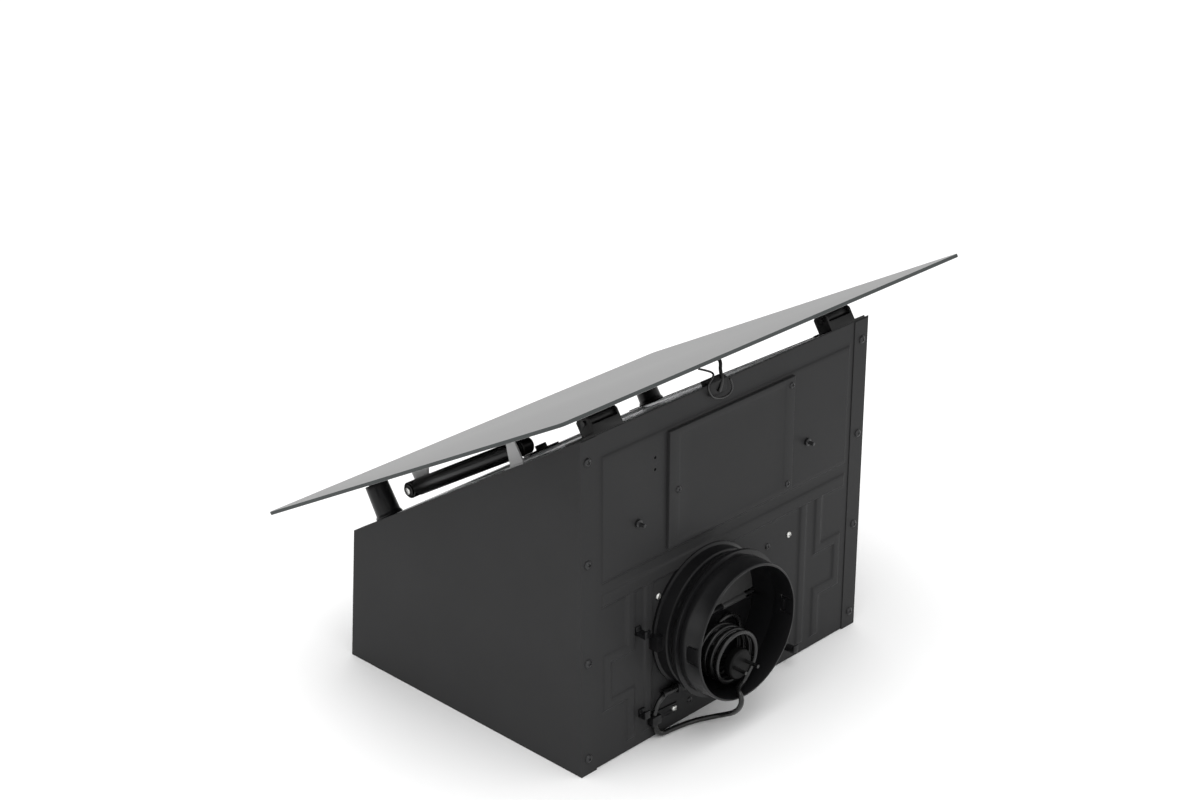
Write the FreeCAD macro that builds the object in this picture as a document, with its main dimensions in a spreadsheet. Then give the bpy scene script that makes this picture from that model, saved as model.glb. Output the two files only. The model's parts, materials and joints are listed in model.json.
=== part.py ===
"""Inclined wall hood with a hinged glass front, lying on its wall side. Millimetres.

X runs along the width, Y from the duct face (the top in use) to the lower face, +Z away from the wall.
The origin is the centre of the wall side.
"""
import FreeCAD
import Part
import Sketcher
import math
import os

SIZES = {
    # casing
    "casing_width": 440,
    "wall_depth": 356,
    "duct_face_height": 376,
    "lower_face_height": 159,
    "lower_face_lean": 14,
    "sheet_gauge": 1.0,
    "flange_width": 22,
    "rim_width": 12,
    # screws of the side flanges
    "side_screw_inset": 9.7,
    "side_screw_first": 18.9,
    "side_screw_last": 25.3,
    "side_screw_head_radius": 4.8,
    "screw_head_radius": 3.6,
    "screw_head_height": 2.2,
    "screw_shank_radius": 1.5,
    "screw_shank_length": 7,
    # embossing of the duct face
    "field_inset": 30,
    "field_low": 211,
    "field_top_inset": 27,
    "emboss_height": 1.5,
    "ledge_low": 184,
    "ledge_high": 198,
    "bead_width": 11,
    "bead_inset": 98,
    "bead_low": 14,
    "meander_inset": 72,
    "meander_outset": 38,
    "meander_upper": 122,
    "meander_lower": 69,
    # access cover
    "cover_left": -98,
    "cover_width": 193,
    "cover_margin": 5,
    "cover_rise": 4,
    "cover_border": 15,
    "cover_dish": 0.5,
    "cover_hole_radius": 1.6,
    # studs of the chimney cover, and holes in the wall plate
    "stud_middle": -9,
    "stud_spacing": 262,
    "stud_up": 260,
    "wall_hole_spacing": 300,
    "wall_hole_along": -140,
    "wall_hole_radius": 4,
    # outlet
    "outlet_across": -38,
    "outlet_up": 117.5,
    "collar_radius": 75,
    "collar_wall": 2.4,
    "collar_front": 61,
    "collar_start": 34,
    "drum_radius": 76,
    "drum_ridge_radius": 81,
    "drum_flange_radius": 79,
    "drum_flange_height": 3,
    "flap_depth": 5,
    "flap_gauge": 1.2,
    "flap_gap": 1.2,
    "axle_radius": 2,
    "running_gap": 0.05,
    "clip_width": 20,
    "clip_low": 43.5,
    "clip_high": 57,
    "clip_slit": 1.2,
    # glass front
    "glass_width": 600,
    "glass_length": 505,
    "glass_gauge": 4,
    "glass_corner": 6,
    "glass_overhang": 81,
    "panel_gap": 24.8,
    "post_along": 355,
    "post_height": 45.12,
    "post_inset": 15.5,
    "post_radius": 13.5,
    "buffer_height": 7.5,
    "seat_gap": 0.3,
    "panel_frame_inset": 25,
    "panel_frame_length": 372,
    "panel_frame_gauge": 1.2,
    "panel_frame_fold": 5,
    # hinges
    "hinge_inset": 41,
    "hinge_along": 9,
    "hinge_above": 14,
    "hinge_span": 40,
    "hinge_ear": 2.5,
    "pin_radius": 2.5,
    # gas strut
    "strut_inset": 35,
    "strut_radius": 9.1,
    "strut_casing_along": 125,
    "strut_casing_above": 15,
    "strut_panel_along": 322,
    "strut_panel_above": 17,
    "strut_rod_radius": 3,
    "strut_end_radius": 8.8,
    "strut_end_width": 13,
    "strut_bracket_gauge": 2,
    "strut_bracket_offset": 10.6,
    # filter opening
    "filter_width": 340,
    "filter_start": 42,
    "filter_length": 290,
    "filter_depth": 9,
    "filter_gap": 0.6,
    # blower
    "blower_across": 55,
    "blower_along": 8,
    "blower_low": 46,
    "blower_depth": 138,
    "blower_gauge": 1.0,
    "scroll_start": 104,
    "scroll_growth": 14,
    "impeller_radius": 88,
    "impeller_depth": 96,
    "motor_radius": 44,
    "motor_height": 62,
    # lamps
    "lamp_across": 130,
    "lamp_up": 88,
    "lamp_radius": 29,
    # cord
    "cord_radius": 2.8,
    "coil_across": -37,
    "coil_up": 81.5,
    "coil_radius": 28,
    "coil_pitch": 8.3,
    "coil_turns": 4,
    "coil_front": 49,
    "coil_first_angle": 45,
    "cord_exit_across": -85,
    "cord_exit_up": 50,
    "cord_boot_length": 20,
    "cord_drop_offset": 5,
    "clamp_low": 20,
    "clamp_high": 30,
    "plug_radius": 17,
    "plug_front": 52,
    "plug_drop": 6,
}

doc = FreeCAD.newDocument("InclinedHood")
sheet = doc.addObject("Spreadsheet::Sheet", "Sizes")
for row, (alias, number) in enumerate(SIZES.items(), start=1):
    sheet.set(f"A{row}", str(number))
    sheet.setAlias(f"A{row}", alias)
doc.recompute()


class Size:
    """A size worked out from the sheet: its value now, and the formula that binds it."""

    def __init__(self, value, formula):
        self.value = float(value)
        self.formula = formula

    def __add__(self, other):
        other = as_size(other)
        return Size(self.value + other.value, f"({self.formula} + {other.formula})")

    def __sub__(self, other):
        other = as_size(other)
        return Size(self.value - other.value, f"({self.formula} - {other.formula})")

    def __mul__(self, other):
        other = as_size(other)
        return Size(self.value * other.value, f"({self.formula} * {other.formula})")

    def __truediv__(self, other):
        other = as_size(other)
        return Size(self.value / other.value, f"({self.formula} / {other.formula})")

    def __radd__(self, other):
        return as_size(other) + self

    def __rsub__(self, other):
        return as_size(other) - self

    def __rmul__(self, other):
        return as_size(other) * self

    def __rtruediv__(self, other):
        return as_size(other) / self

    def __neg__(self):
        return Size(-self.value, f"(-1 * {self.formula})")

    def __float__(self):
        return self.value


def as_size(number):
    if isinstance(number, Size):
        return number
    return Size(number, f"({float(number):.6f})")


def root(size):
    return Size(math.sqrt(size.value), f"sqrt({size.formula})")


def slope_angle(rise, run):
    """The angle of a slope, in degrees."""
    return Size(math.degrees(math.atan(rise.value / run.value)), f"atan({rise.formula} / {run.formula})")


class Sheet:
    """Reads a size by its alias: s.casing_width."""

    def __getattr__(self, alias):
        return Size(SIZES[alias], f"Sizes.{alias}")


s = Sheet()

# ---------------------------------------------------------------- shared lines of the casing
half_width = s.casing_width / 2
duct_y = -s.wall_depth / 2
lower_y = s.wall_depth / 2
lower_top_y = lower_y - s.lower_face_lean
gauge = s.sheet_gauge
inner_half = half_width - gauge
slant_run = s.wall_depth - s.lower_face_lean
slant_drop = s.duct_face_height - s.lower_face_height
slant_length = root(slant_run * slant_run + slant_drop * slant_drop)
slant_angle = slope_angle(slant_drop, slant_run)
lower_face_length = root(s.lower_face_lean * s.lower_face_lean + s.lower_face_height * s.lower_face_height)
panel_rise = (s.post_height + s.seat_gap - s.panel_gap) / s.post_along
panel_angle = slope_angle(panel_rise, as_size(1))
bore_radius = s.collar_radius - s.collar_wall
field_high = s.duct_face_height - s.field_top_inset
bead_across = half_width - s.bead_inset
side_screw_pitch = (s.duct_face_height - s.side_screw_first - s.side_screw_last) / 3


def bind(item, name, size):
    item.setExpression(name, as_size(size).formula)


def vector(u, v):
    return FreeCAD.Vector(float(u), float(v), 0)


# ---------------------------------------------------------------- ways of making a piece
PLANES = {"x": "YZ_Plane", "y": "XZ_Plane", "z": "XY_Plane"}


def new_body(label):
    item = doc.addObject("PartDesign::Body", label)
    item.Label = label
    return item


def plane_of(item, axis):
    return next(f for f in item.Origin.OriginFeatures if f.Role == PLANES[axis])


def pin_point(sketch, geometry, point, u, v):
    """Holds a sketch point at (u, v)."""
    for kind, size in (("DistanceX", u), ("DistanceY", v)):
        size = as_size(size)
        index = sketch.addConstraint(Sketcher.Constraint(kind, -1, 1, geometry, point, size.value))
        bind(sketch, f"Constraints[{index}]", size)


def draw_outline(sketch, corners):
    """A closed outline of straight edges."""
    first = sketch.GeometryCount
    count = len(corners)
    for index in range(count):
        start, end = corners[index], corners[(index + 1) % count]
        sketch.addGeometry(Part.LineSegment(vector(*start), vector(*end)), False)
    for index in range(count):
        following = first + (index + 1) % count
        sketch.addConstraint(Sketcher.Constraint("Coincident", first + index, 2, following, 1))
    for index, (u, v) in enumerate(corners):
        pin_point(sketch, first + index, 1, u, v)


def draw_circle(sketch, u, v, radius):
    circle = Part.Circle(vector(u, v), FreeCAD.Vector(0, 0, 1), float(radius))
    index = sketch.addGeometry(circle, False)
    pin_point(sketch, index, 3, u, v)
    held = sketch.addConstraint(Sketcher.Constraint("Radius", index, float(radius)))
    bind(sketch, f"Constraints[{held}]", radius)


def new_sketch(item, axis, at):
    sketch = item.newObject("Sketcher::SketchObject", f"{item.Label}_sketch")
    sketch.AttachmentSupport = [(plane_of(item, axis), "")]
    sketch.MapMode = "FlatFace"
    bind(sketch, "AttachmentOffset.Base.z", at)
    return sketch


def push(item, kind, axis, at, depth, outlines=(), circles=()):
    """Pads or pockets outlines square to an axis, from at through depth towards the axis's plus end."""
    at, depth = as_size(at), as_size(depth)
    sketch = new_sketch(item, axis, -(at + depth) if axis == "y" else at)
    for corners in outlines:
        draw_outline(sketch, corners)
    for circle in circles:
        draw_circle(sketch, *circle)
    feature = item.newObject(f"PartDesign::{kind}", f"{item.Label}_{kind.lower()}")
    feature.Profile = sketch
    if kind == "Pocket":
        feature.Reversed = True
    bind(feature, "Length", depth)
    item.Tip = feature
    return feature


def pad(item, axis, at, depth, outlines=(), circles=()):
    return push(item, "Pad", axis, at, depth, outlines, circles)


def pocket(item, axis, at, depth, outlines=(), circles=()):
    return push(item, "Pocket", axis, at, depth, outlines, circles)


def turn(item, across, along, profile, cut=False):
    """Revolves a profile of (radius, height) about the body's own Z axis through (across, along)."""
    sketch = new_sketch(item, "y", -as_size(along))
    bind(sketch, "AttachmentOffset.Base.x", across)
    draw_outline(sketch, profile)
    kind = "Groove" if cut else "Revolution"
    feature = item.newObject(f"PartDesign::{kind}", f"{item.Label}_{kind.lower()}")
    feature.Profile = sketch
    feature.ReferenceAxis = (sketch, ["V_Axis"])
    feature.Angle = 360
    item.Tip = feature
    return feature


def axis_of(item, axis):
    return next(f for f in item.Origin.OriginFeatures if f.Role == f"{axis}_Axis")


def ring_of(item, feature, count):
    """Repeats a feature round the body's own Z axis."""
    pattern = item.newObject("PartDesign::PolarPattern", f"{item.Label}_pattern")
    pattern.Originals = [feature]
    pattern.Axis = (axis_of(item, "Z"), [""])
    pattern.Angle = 360
    pattern.Occurrences = count
    item.Tip = pattern


def row_of(item, feature, length, count):
    """Repeats a feature along the body's own Y axis, over a length."""
    pattern = item.newObject("PartDesign::LinearPattern", f"{item.Label}_pattern")
    pattern.Originals = [feature]
    pattern.Direction = (axis_of(item, "Y"), [""])
    bind(pattern, "Length", length)
    pattern.Occurrences = count
    item.Tip = pattern


def round_corners(item, radius, axis, keep=lambda middle: True):
    """Rounds the edges parallel to an axis, those that keep() picks by their middle."""
    doc.recompute()
    base = item.Tip
    direction = {"x": FreeCAD.Vector(1, 0, 0), "y": FreeCAD.Vector(0, 1, 0), "z": FreeCAD.Vector(0, 0, 1)}[axis]
    names = []
    for index, edge in enumerate(base.Shape.Edges, start=1):
        if not isinstance(edge.Curve, Part.Line):
            continue
        along = abs(edge.Curve.Direction.dot(direction))
        if along > 0.999 and keep(edge.CenterOfMass):
            names.append(f"Edge{index}")
    fillet = item.newObject("PartDesign::Fillet", f"{item.Label}_fillet")
    fillet.Base = (base, names)
    bind(fillet, "Radius", radius)
    item.Tip = fillet
    return fillet


def rectangle(u0, v0, u1, v1):
    return [(u0, v0), (u1, v0), (u1, v1), (u0, v1)]


def place(item, x=0, y=0, z=0, tilt=None):
    """Places a piece, tipped about X by tilt degrees."""
    item.Placement = FreeCAD.Placement(FreeCAD.Vector(0, 0, 0), FreeCAD.Rotation(FreeCAD.Vector(1, 0, 0), -1))
    bind(item, "Placement.Base.x", x)
    bind(item, "Placement.Base.y", y)
    bind(item, "Placement.Base.z", z)
    bind(item, "Placement.Rotation.Angle", tilt if tilt is not None else 0)


def on_slant(item):
    """Lays a piece drawn flat on the slanted front: its Y runs down the slope, its Z away from it."""
    place(item, 0, duct_y, s.duct_face_height, -slant_angle)


def on_panel(item):
    """Lays a piece drawn flat on the underside of the glass, whose line starts above the duct edge."""
    lift_y = s.panel_gap * slant_drop / slant_length
    lift_z = s.panel_gap * slant_run / slant_length
    place(item, 0, duct_y + lift_y, s.duct_face_height + lift_z, panel_angle - slant_angle)


def on_duct_face(item):
    """Stands a piece drawn flat on the duct face: its Z points out of the face, its Y up."""
    place(item, 0, duct_y, 0, 90)


def on_lower_face(item):
    """Lays a piece drawn flat on the lower face: its Z points out of the face, its Y down it."""
    place(item, 0, lower_y, 0, slope_angle(-s.lower_face_height, s.lower_face_lean))


def slant_point(along, above):
    """(Y, Z) of a point down the slope and off it."""
    y = duct_y + (slant_run * along + slant_drop * above) / slant_length
    z = s.duct_face_height + (slant_run * above - slant_drop * along) / slant_length
    return y, z


def group(label, items):
    """Several solids as one piece of the parts list."""
    item = doc.addObject("Part::Compound", label)
    item.Label = label
    item.Links = items
    return item


PARTS = []


def keep(*items):
    PARTS.extend(items)


# ---------------------------------------------------------------- casing
cover_low = s.field_low + s.cover_margin
cover_high = field_high - s.cover_margin + 2
cover_height = cover_high - cover_low
PLATE_SCREWS = [
    (-half_width + 113, s.ledge_low - 20),
    (half_width - 121, s.ledge_low - 27),
    (s.outlet_across + 102, s.ledge_low - 28),
    (s.outlet_across - 45, s.outlet_up - 95.5),
    (s.outlet_across - 19, s.outlet_up - 97.5),
]
COVER_SCREWS = [
    (s.cover_left + 13, cover_low + cover_height / 2 - 2),
    (s.cover_left + s.cover_width - 6, cover_high - 9),
    (s.cover_left + s.cover_width - 8, cover_low + 8),
]


def side_panel(label, side):
    """Side sheet with a flange folded onto the duct face and a rim folded along the slanted edge."""
    item = new_body(label)
    outline = [
        (duct_y, as_size(0)),
        (lower_y, as_size(0)),
        (lower_top_y, s.lower_face_height),
        (duct_y, s.duct_face_height),
    ]
    inner, outer = inner_half, half_width
    start = -outer if side < 0 else inner
    pad(item, "x", start, gauge, [outline])
    low = -outer if side < 0 else outer - s.flange_width
    pad(item, "y", duct_y, gauge, [rectangle(low, 0, low + s.flange_width, s.duct_face_height - gauge * 2)])
    rim_low = slant_point(s.rim_width + gauge * 2, -gauge)
    rim_top = slant_point(s.rim_width + gauge * 2, 0)
    end_low = slant_point(slant_length - gauge * 3, -gauge)
    end_top = slant_point(slant_length - gauge * 3, 0)
    rim_start = -outer if side < 0 else outer - s.rim_width
    pad(item, "x", rim_start, s.rim_width, [[rim_low, end_low, end_top, rim_top]])
    across = side * (half_width - s.side_screw_inset)
    holes = [
        (across, s.side_screw_first + side_screw_pitch * step, s.screw_shank_radius + 0.1)
        for step in range(4)
    ]
    pocket(item, "y", duct_y - 1, gauge + 2, circles=holes)
    keep(item)


def meander(side):
    """Outline of the square wave rib on one side of the duct face."""
    half = s.bead_width / 2
    inside = half_width - s.meander_inset
    outside = half_width - s.meander_outset
    top, upper, lower, low = s.ledge_low + 1, s.meander_upper, s.meander_lower, s.bead_low
    points = [
        (inside - half, low),
        (inside + half, low),
        (inside + half, lower - half),
        (outside + half, lower - half),
        (outside + half, upper + half),
        (inside + half, upper + half),
        (inside + half, top),
        (inside - half, top),
        (inside - half, upper - half),
        (outside - half, upper - half),
        (outside - half, lower + half),
        (inside - half, lower + half),
    ]
    return [(u if side > 0 else -u, v) for u, v in points]


def duct_plate():
    """Duct face sheet: raised field above, a ledge, beads and meanders below, and the duct hole."""
    item = new_body("duct_plate")
    face = duct_y + gauge
    top = s.duct_face_height - gauge * 1.5
    pad(item, "y", face, gauge, [rectangle(-inner_half, gauge, inner_half, top)])
    rim = [
        slant_point(gauge, -gauge),
        slant_point(s.rim_width, -gauge),
        slant_point(s.rim_width, 0),
        slant_point(gauge, 0),
    ]
    pad(item, "x", -inner_half, inner_half * 2, [rim])
    edge = half_width - s.field_inset
    raised = face - s.emboss_height
    pad(item, "y", raised, s.emboss_height, [rectangle(-edge, s.field_low, edge, field_high)])
    ledge = rectangle(-edge, s.ledge_low, edge, s.ledge_high)
    pad(item, "y", raised, s.emboss_height, [ledge])
    for side in (-1, 1):
        across = side * bead_across
        half = s.bead_width / 2
        pad(item, "y", raised, s.emboss_height, [
            rectangle(across - half, s.bead_low, across + half, s.ledge_low + 1),
        ])
        pad(item, "y", raised, s.emboss_height, [meander(side)])
    around_drum = s.drum_flange_radius + 1
    pocket(item, "y", raised - 1, s.emboss_height + 1, circles=[(s.outlet_across, s.outlet_up, around_drum)])
    pocket(item, "y", raised - 1, s.emboss_height + gauge + 2, circles=[
        (s.outlet_across, s.outlet_up, bore_radius),
    ])
    holes = [(x, z, s.screw_shank_radius + 0.1) for x, z in PLATE_SCREWS + COVER_SCREWS + side_places]
    pilot_across = s.cover_left - 17
    holes += [(pilot_across, field_high - drop, s.cover_hole_radius) for drop in (26, 39)]
    pocket(item, "y", raised - 1, s.emboss_height + gauge + 2, circles=holes)
    keep(item)


def wall_plate():
    """Wall side sheet with the two holes it hangs by."""
    item = new_body("wall_plate")
    start = duct_y + gauge * 2
    end = lower_y - gauge * 2
    pad(item, "z", 0, gauge, [rectangle(-inner_half, start, inner_half, end)])
    across = s.wall_hole_spacing / 2
    pocket(item, "z", -1, gauge + 2, circles=[
        (side * across, s.wall_hole_along, s.wall_hole_radius) for side in (-1, 1)
    ])
    keep(item)


def lower_plate():
    """Lower face sheet, leaning back, with a hole for each lamp. Drawn flat: its Y runs down the face."""
    item = new_body("lower_plate")
    pad(item, "z", -gauge, gauge, [rectangle(-inner_half, -(lower_face_length - gauge * 2), inner_half, 0)])
    holes = [(side * s.lamp_across, -s.lamp_up, s.lamp_radius) for side in (-1, 1)]
    pocket(item, "z", -gauge - 1, gauge + 2, circles=holes)
    on_lower_face(item)
    keep(item)


side_places = [
    (side * (half_width - s.side_screw_inset), s.side_screw_first + side_screw_pitch * step)
    for side in (-1, 1)
    for step in range(4)
]
side_panel("side_panel_near", -1)
side_panel("side_panel_far", 1)
duct_plate()
wall_plate()
lower_plate()


def front_frame():
    """Sheet under the slanted rim, with the filter opening."""
    item = new_body("front_frame")
    end = slant_length - gauge * 3
    pad(item, "z", -gauge * 2, gauge, [rectangle(-inner_half, gauge * 4, inner_half, end)])
    half = s.filter_width / 2
    opening = rectangle(-half, s.filter_start, half, s.filter_start + s.filter_length)
    pocket(item, "z", -gauge * 2 - 1, gauge + 2, [opening])
    on_slant(item)
    keep(item)


def access_cover():
    """Shallow pan screwed over the upper field, its middle dished inwards."""
    item = new_body("access_cover")
    base = duct_y + gauge - s.emboss_height
    front = base - s.cover_rise
    left, low = s.cover_left, cover_low
    right, high = left + s.cover_width, cover_high
    pad(item, "y", front, s.cover_rise, [rectangle(left, low, right, high)])
    pocket(item, "y", front + gauge, s.cover_rise, [
        rectangle(left + gauge, low + gauge, right - gauge, high - gauge),
    ])
    border = s.cover_border
    dish = rectangle(left + border, low + 6, right - border, high - 6)
    pad(item, "y", front + gauge, s.cover_dish, [dish])
    pocket(item, "y", front - 1, s.cover_dish + 1, [dish])
    pocket(item, "y", front - 1, gauge + 2, circles=[
        (x, z, s.screw_shank_radius + 0.1) for x, z in COVER_SCREWS
    ])
    keep(item)


def screw(label, head):
    """Pan head screw along its own Z, its head's seat at zero."""
    item = new_body(label)
    height = s.screw_head_height
    turn(item, 0, 0, [
        (0, -s.screw_shank_length),
        (s.screw_shank_radius, -s.screw_shank_length),
        (s.screw_shank_radius, 0),
        (head, 0),
        (head * 0.75, height),
        (0, height),
    ])
    return item


def face_screws(label, places, seat, head):
    """Screws driven into the duct face, as one piece."""
    items = []
    for count, (x, z) in enumerate(places, start=1):
        item = screw(f"{label}_{count}", head)
        place(item, x, duct_y - seat, z, 90)
        items.append(item)
    keep(group(label, items))


front_frame()
access_cover()
cover_front = s.emboss_height - gauge + s.cover_rise
face_screws("cover_screws", COVER_SCREWS, cover_front, s.screw_head_radius)
face_screws("side_screws", side_places, 0, s.side_screw_head_radius)
face_screws("plate_screws", PLATE_SCREWS[:3] + PLATE_SCREWS[4:], -gauge, s.screw_head_radius)

# ---------------------------------------------------------------- outlet
drum_seat = -gauge
cord_rest = s.cord_radius + 1.35


def outlet_base():
    """Stepped drum screwed on the duct face, with the flap seat inside and a boss at each axle end."""
    item = new_body("outlet_base")
    flange, drum, ridge = s.drum_flange_radius, s.drum_radius, s.drum_ridge_radius
    turn(item, s.outlet_across, s.outlet_up, [
        (bore_radius, drum_seat),
        (flange, drum_seat),
        (flange, drum_seat + s.drum_flange_height),
        (drum, drum_seat + s.drum_flange_height + 1),
        (drum, s.collar_start - 18),
        (drum - 1.8, s.collar_start - 17),
        (drum - 1.8, s.collar_start - 14),
        (drum + 1.5, s.collar_start - 8),
        (ridge, s.collar_start - 4),
        (ridge, s.collar_start),
        (bore_radius, s.collar_start),
    ])
    over_beads = s.emboss_height - gauge + 0.1
    for side in (-1, 1):
        inner = bore_radius + 0.8
        outer = ridge + 3
        start = s.outlet_across + (inner if side > 0 else -outer)
        boss = rectangle(s.outlet_up - 8, over_beads, s.outlet_up + 8, s.flap_depth + 7)
        pad(item, "x", start, outer - inner, [boss])
    exit_low, exit_high = s.cord_exit_up - 5.5, s.cord_exit_up + 5.5
    exit_box = rectangle(exit_low, drum_seat, exit_high, cord_rest + 5)
    pad(item, "x", s.cord_exit_across, 9.5, [exit_box])
    seat_top = s.flap_depth - s.flap_gauge / 2 - s.seat_gap
    turn(item, s.outlet_across, s.outlet_up, [
        (bore_radius - 3, seat_top - 1.2),
        (bore_radius + 0.5, seat_top - 1.2),
        (bore_radius + 0.5, seat_top),
        (bore_radius - 3, seat_top),
    ])
    reach = ridge + 1
    pocket(item, "x", s.outlet_across - reach, reach * 2, circles=[
        (s.outlet_up, s.flap_depth, s.axle_radius + s.running_gap),
    ])
    on_duct_face(item)
    keep(item)


def outlet_collar():
    """Collar that the duct slides over, with a bead near its root and a snap tongue on either side."""
    item = new_body("outlet_collar")
    radius, start, front = s.collar_radius, s.collar_start, s.collar_front
    turn(item, s.outlet_across, s.outlet_up, [
        (bore_radius, start),
        (radius + 0.8, start),
        (radius + 0.8, start + 8),
        (radius, start + 9.5),
        (radius, front - 1.2),
        (radius - 0.8, front),
        (bore_radius, front),
    ])
    left, right = s.outlet_up - s.clip_width / 2, s.outlet_up + s.clip_width / 2
    low, high, slit = s.clip_low, s.clip_high, s.clip_slit
    slits = [
        (left, low), (right, low), (right, high), (right - slit, high),
        (right - slit, low + slit), (left + slit, low + slit), (left + slit, high), (left, high),
    ]
    pocket(item, "x", s.outlet_across - radius - 1, radius * 2 + 2, [slits])
    on_duct_face(item)
    keep(item)


def collar_clips():
    """Catches inside the collar's two snap tongues."""
    items = []
    for side in (-1, 1):
        item = new_body(f"collar_clip_{'near' if side < 0 else 'far'}")
        inner, outer = bore_radius - 2, bore_radius - 0.3
        start = s.outlet_across + (inner if side > 0 else -outer)
        half = s.clip_width / 2 - 3.5
        hook = rectangle(s.outlet_up - half, s.clip_low + 2, s.outlet_up + half, s.clip_low + 6)
        pad(item, "x", start, outer - inner, [hook])
        on_duct_face(item)
        items.append(item)
    keep(group("collar_clips", items))


def flap_axle():
    item = new_body("flap_axle")
    reach = s.drum_ridge_radius + 0.5
    pad(item, "x", s.outlet_across - reach, reach * 2, circles=[(s.outlet_up, s.flap_depth, s.axle_radius)])
    on_duct_face(item)
    keep(item)


def flap(label, side, sleeves):
    """Half-moon flap above (side 1) or below (side -1) the axle, with its sleeves on the axle."""
    item = new_body(label)
    radius = bore_radius - s.flap_gap
    back = s.flap_depth - s.flap_gauge / 2
    sleeve = s.axle_radius + 1.8
    clear = sleeve + 0.6
    pad(item, "z", back, s.flap_gauge, circles=[(s.outlet_across, s.outlet_up, radius)])
    low = s.outlet_up - (radius + 1 if side > 0 else clear)
    cut = rectangle(s.outlet_across - radius - 1, low, s.outlet_across + radius + 1, low + radius + 1 + clear)
    pocket(item, "z", back - 1, s.flap_gauge + 2, [cut])
    for start, end in sleeves:
        tab_low = s.outlet_up + (0 if side > 0 else -(clear + 2))
        tab = rectangle(s.outlet_across + start, tab_low, s.outlet_across + end, tab_low + clear + 2)
        pad(item, "z", back, s.flap_gauge, [tab])
        pad(item, "x", s.outlet_across + start, end - start, circles=[(s.outlet_up, s.flap_depth, sleeve)])
    pocket(item, "x", s.outlet_across - radius, radius * 2, circles=[
        (s.outlet_up, s.flap_depth, s.axle_radius + s.running_gap),
    ])
    on_duct_face(item)
    keep(item)


def spacer_clips():
    """Small plastic hooks pressed into the duct face."""
    items = []
    places = [
        (-bead_across - 16, s.outlet_up + 19.5, 15),
        (-bead_across - 10, s.outlet_up - 79.5, 10),
        (bead_across - 24, s.outlet_up - 95.5, 17),
    ]
    for count, (x, z, reach) in enumerate(places, start=1):
        item = new_body(f"spacer_clip_{count}")
        base = -gauge
        hook = [
            (z - 4, base),
            (z + 5, base),
            (z + 5, base + 2),
            (z + 1, base + 3),
            (z + 1, base + reach - 3),
            (z + 5, base + reach - 2),
            (z + 5, base + reach),
            (z - 4, base + reach),
        ]
        pad(item, "x", x - 4, 8, [hook])
        on_duct_face(item)
        items.append(item)
    keep(group("spacer_clips", items))


def chimney_studs():
    """Threaded studs with nuts, on which the chimney cover hangs."""
    items = []
    for side in (-1, 1):
        item = new_body(f"chimney_stud_{'near' if side < 0 else 'far'}")
        base = s.emboss_height - gauge
        turn(item, 0, 0, [(0, 0), (4.2, 0), (4.2, 3), (2, 3.4), (2, 10), (0, 10)])
        place(item, s.stud_middle + side * s.stud_spacing / 2, duct_y - base, s.stud_up, 90)
        items.append(item)
    keep(group("chimney_studs", items))


outlet_base()
outlet_collar()
collar_clips()
flap_axle()
flap("flap_upper", 1, [(-58, -22), (22, 58)])
flap("flap_lower", -1, [(-21, 21)])
spacer_clips()
chimney_studs()

# ---------------------------------------------------------------- hinges, posts and glass front


def hinge_bases():
    """Black hinge brackets at the duct edge of the slanted front, each with two ears and a hooked foot."""
    items = []
    along, above = s.hinge_along, s.hinge_above
    for side in (-1, 1):
        item = new_body(f"hinge_base_{'near' if side < 0 else 'far'}")
        middle = side * (half_width - s.hinge_inset)
        half = s.hinge_span / 2
        outer = middle + side * (half + 16)
        low, high = (outer, middle + half) if side < 0 else (middle - half, outer)
        pad(item, "z", 0, 2, [rectangle(low, 1, high, along + 20)])
        cheek = [
            (1, 1), (along + 11, 1), (along + 11, above + 3), (along + 7, above + 6),
            (along - 5, above + 6), (1, above + 2),
        ]
        for ear in (-half, half - s.hinge_ear):
            pad(item, "x", middle + ear, s.hinge_ear, [cheek])
        webs = [rectangle(1, 1, 2.6, above - 4), rectangle(along + 9.4, 1, along + 11, above + 2)]
        pad(item, "x", middle - half, s.hinge_span, webs)
        pocket(item, "x", middle - half - 1, s.hinge_span + 2, circles=[(along, above, s.pin_radius)])
        on_slant(item)
        items.append(item)
    keep(group("hinge_bases", items))


def hinge_pins():
    items = []
    for side in (-1, 1):
        item = new_body(f"hinge_pin_{'near' if side < 0 else 'far'}")
        middle = side * (half_width - s.hinge_inset)
        reach = s.hinge_span / 2 + 2
        pad(item, "x", middle - reach, reach * 2, circles=[(s.hinge_along, s.hinge_above, s.pin_radius)])
        on_slant(item)
        items.append(item)
    keep(group("hinge_pins", items))


def hinge_leaves():
    """Leaves under the panel frame, each with a barrel on the hinge pin."""
    items = []
    for side in (-1, 1):
        item = new_body(f"hinge_leaf_{'near' if side < 0 else 'far'}")
        middle = side * (half_width - s.hinge_inset)
        half = s.hinge_span / 2 - s.hinge_ear - 0.4
        along, above = hinge_on_panel()
        top = -s.panel_frame_gauge
        pad(item, "z", top - 2, 2, [rectangle(middle - half, along - 5, middle + half, along + 26)])
        pad(item, "x", middle - half, half * 2, circles=[(along, above, 5)])
        pad(item, "x", middle - half, half * 2, [rectangle(along - 1.5, above, along + 1.5, top - 1)])
        pocket(item, "x", middle - half - 1, half * 2 + 2, circles=[
            (along, above, s.pin_radius + s.running_gap),
        ])
        on_panel(item)
        items.append(item)
    keep(group("hinge_leaves", items))


def hinge_on_panel():
    """The hinge axis in the panel's own (along, above)."""
    return panel_point(s.hinge_along, s.hinge_above)


def panel_point(along, above):
    """A point given on the slant, in the panel's own (along, above)."""
    scale = root(as_size(1) + panel_rise * panel_rise)
    drop = above - s.panel_gap
    return (along + panel_rise * drop) / scale, (drop - panel_rise * along) / scale


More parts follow.
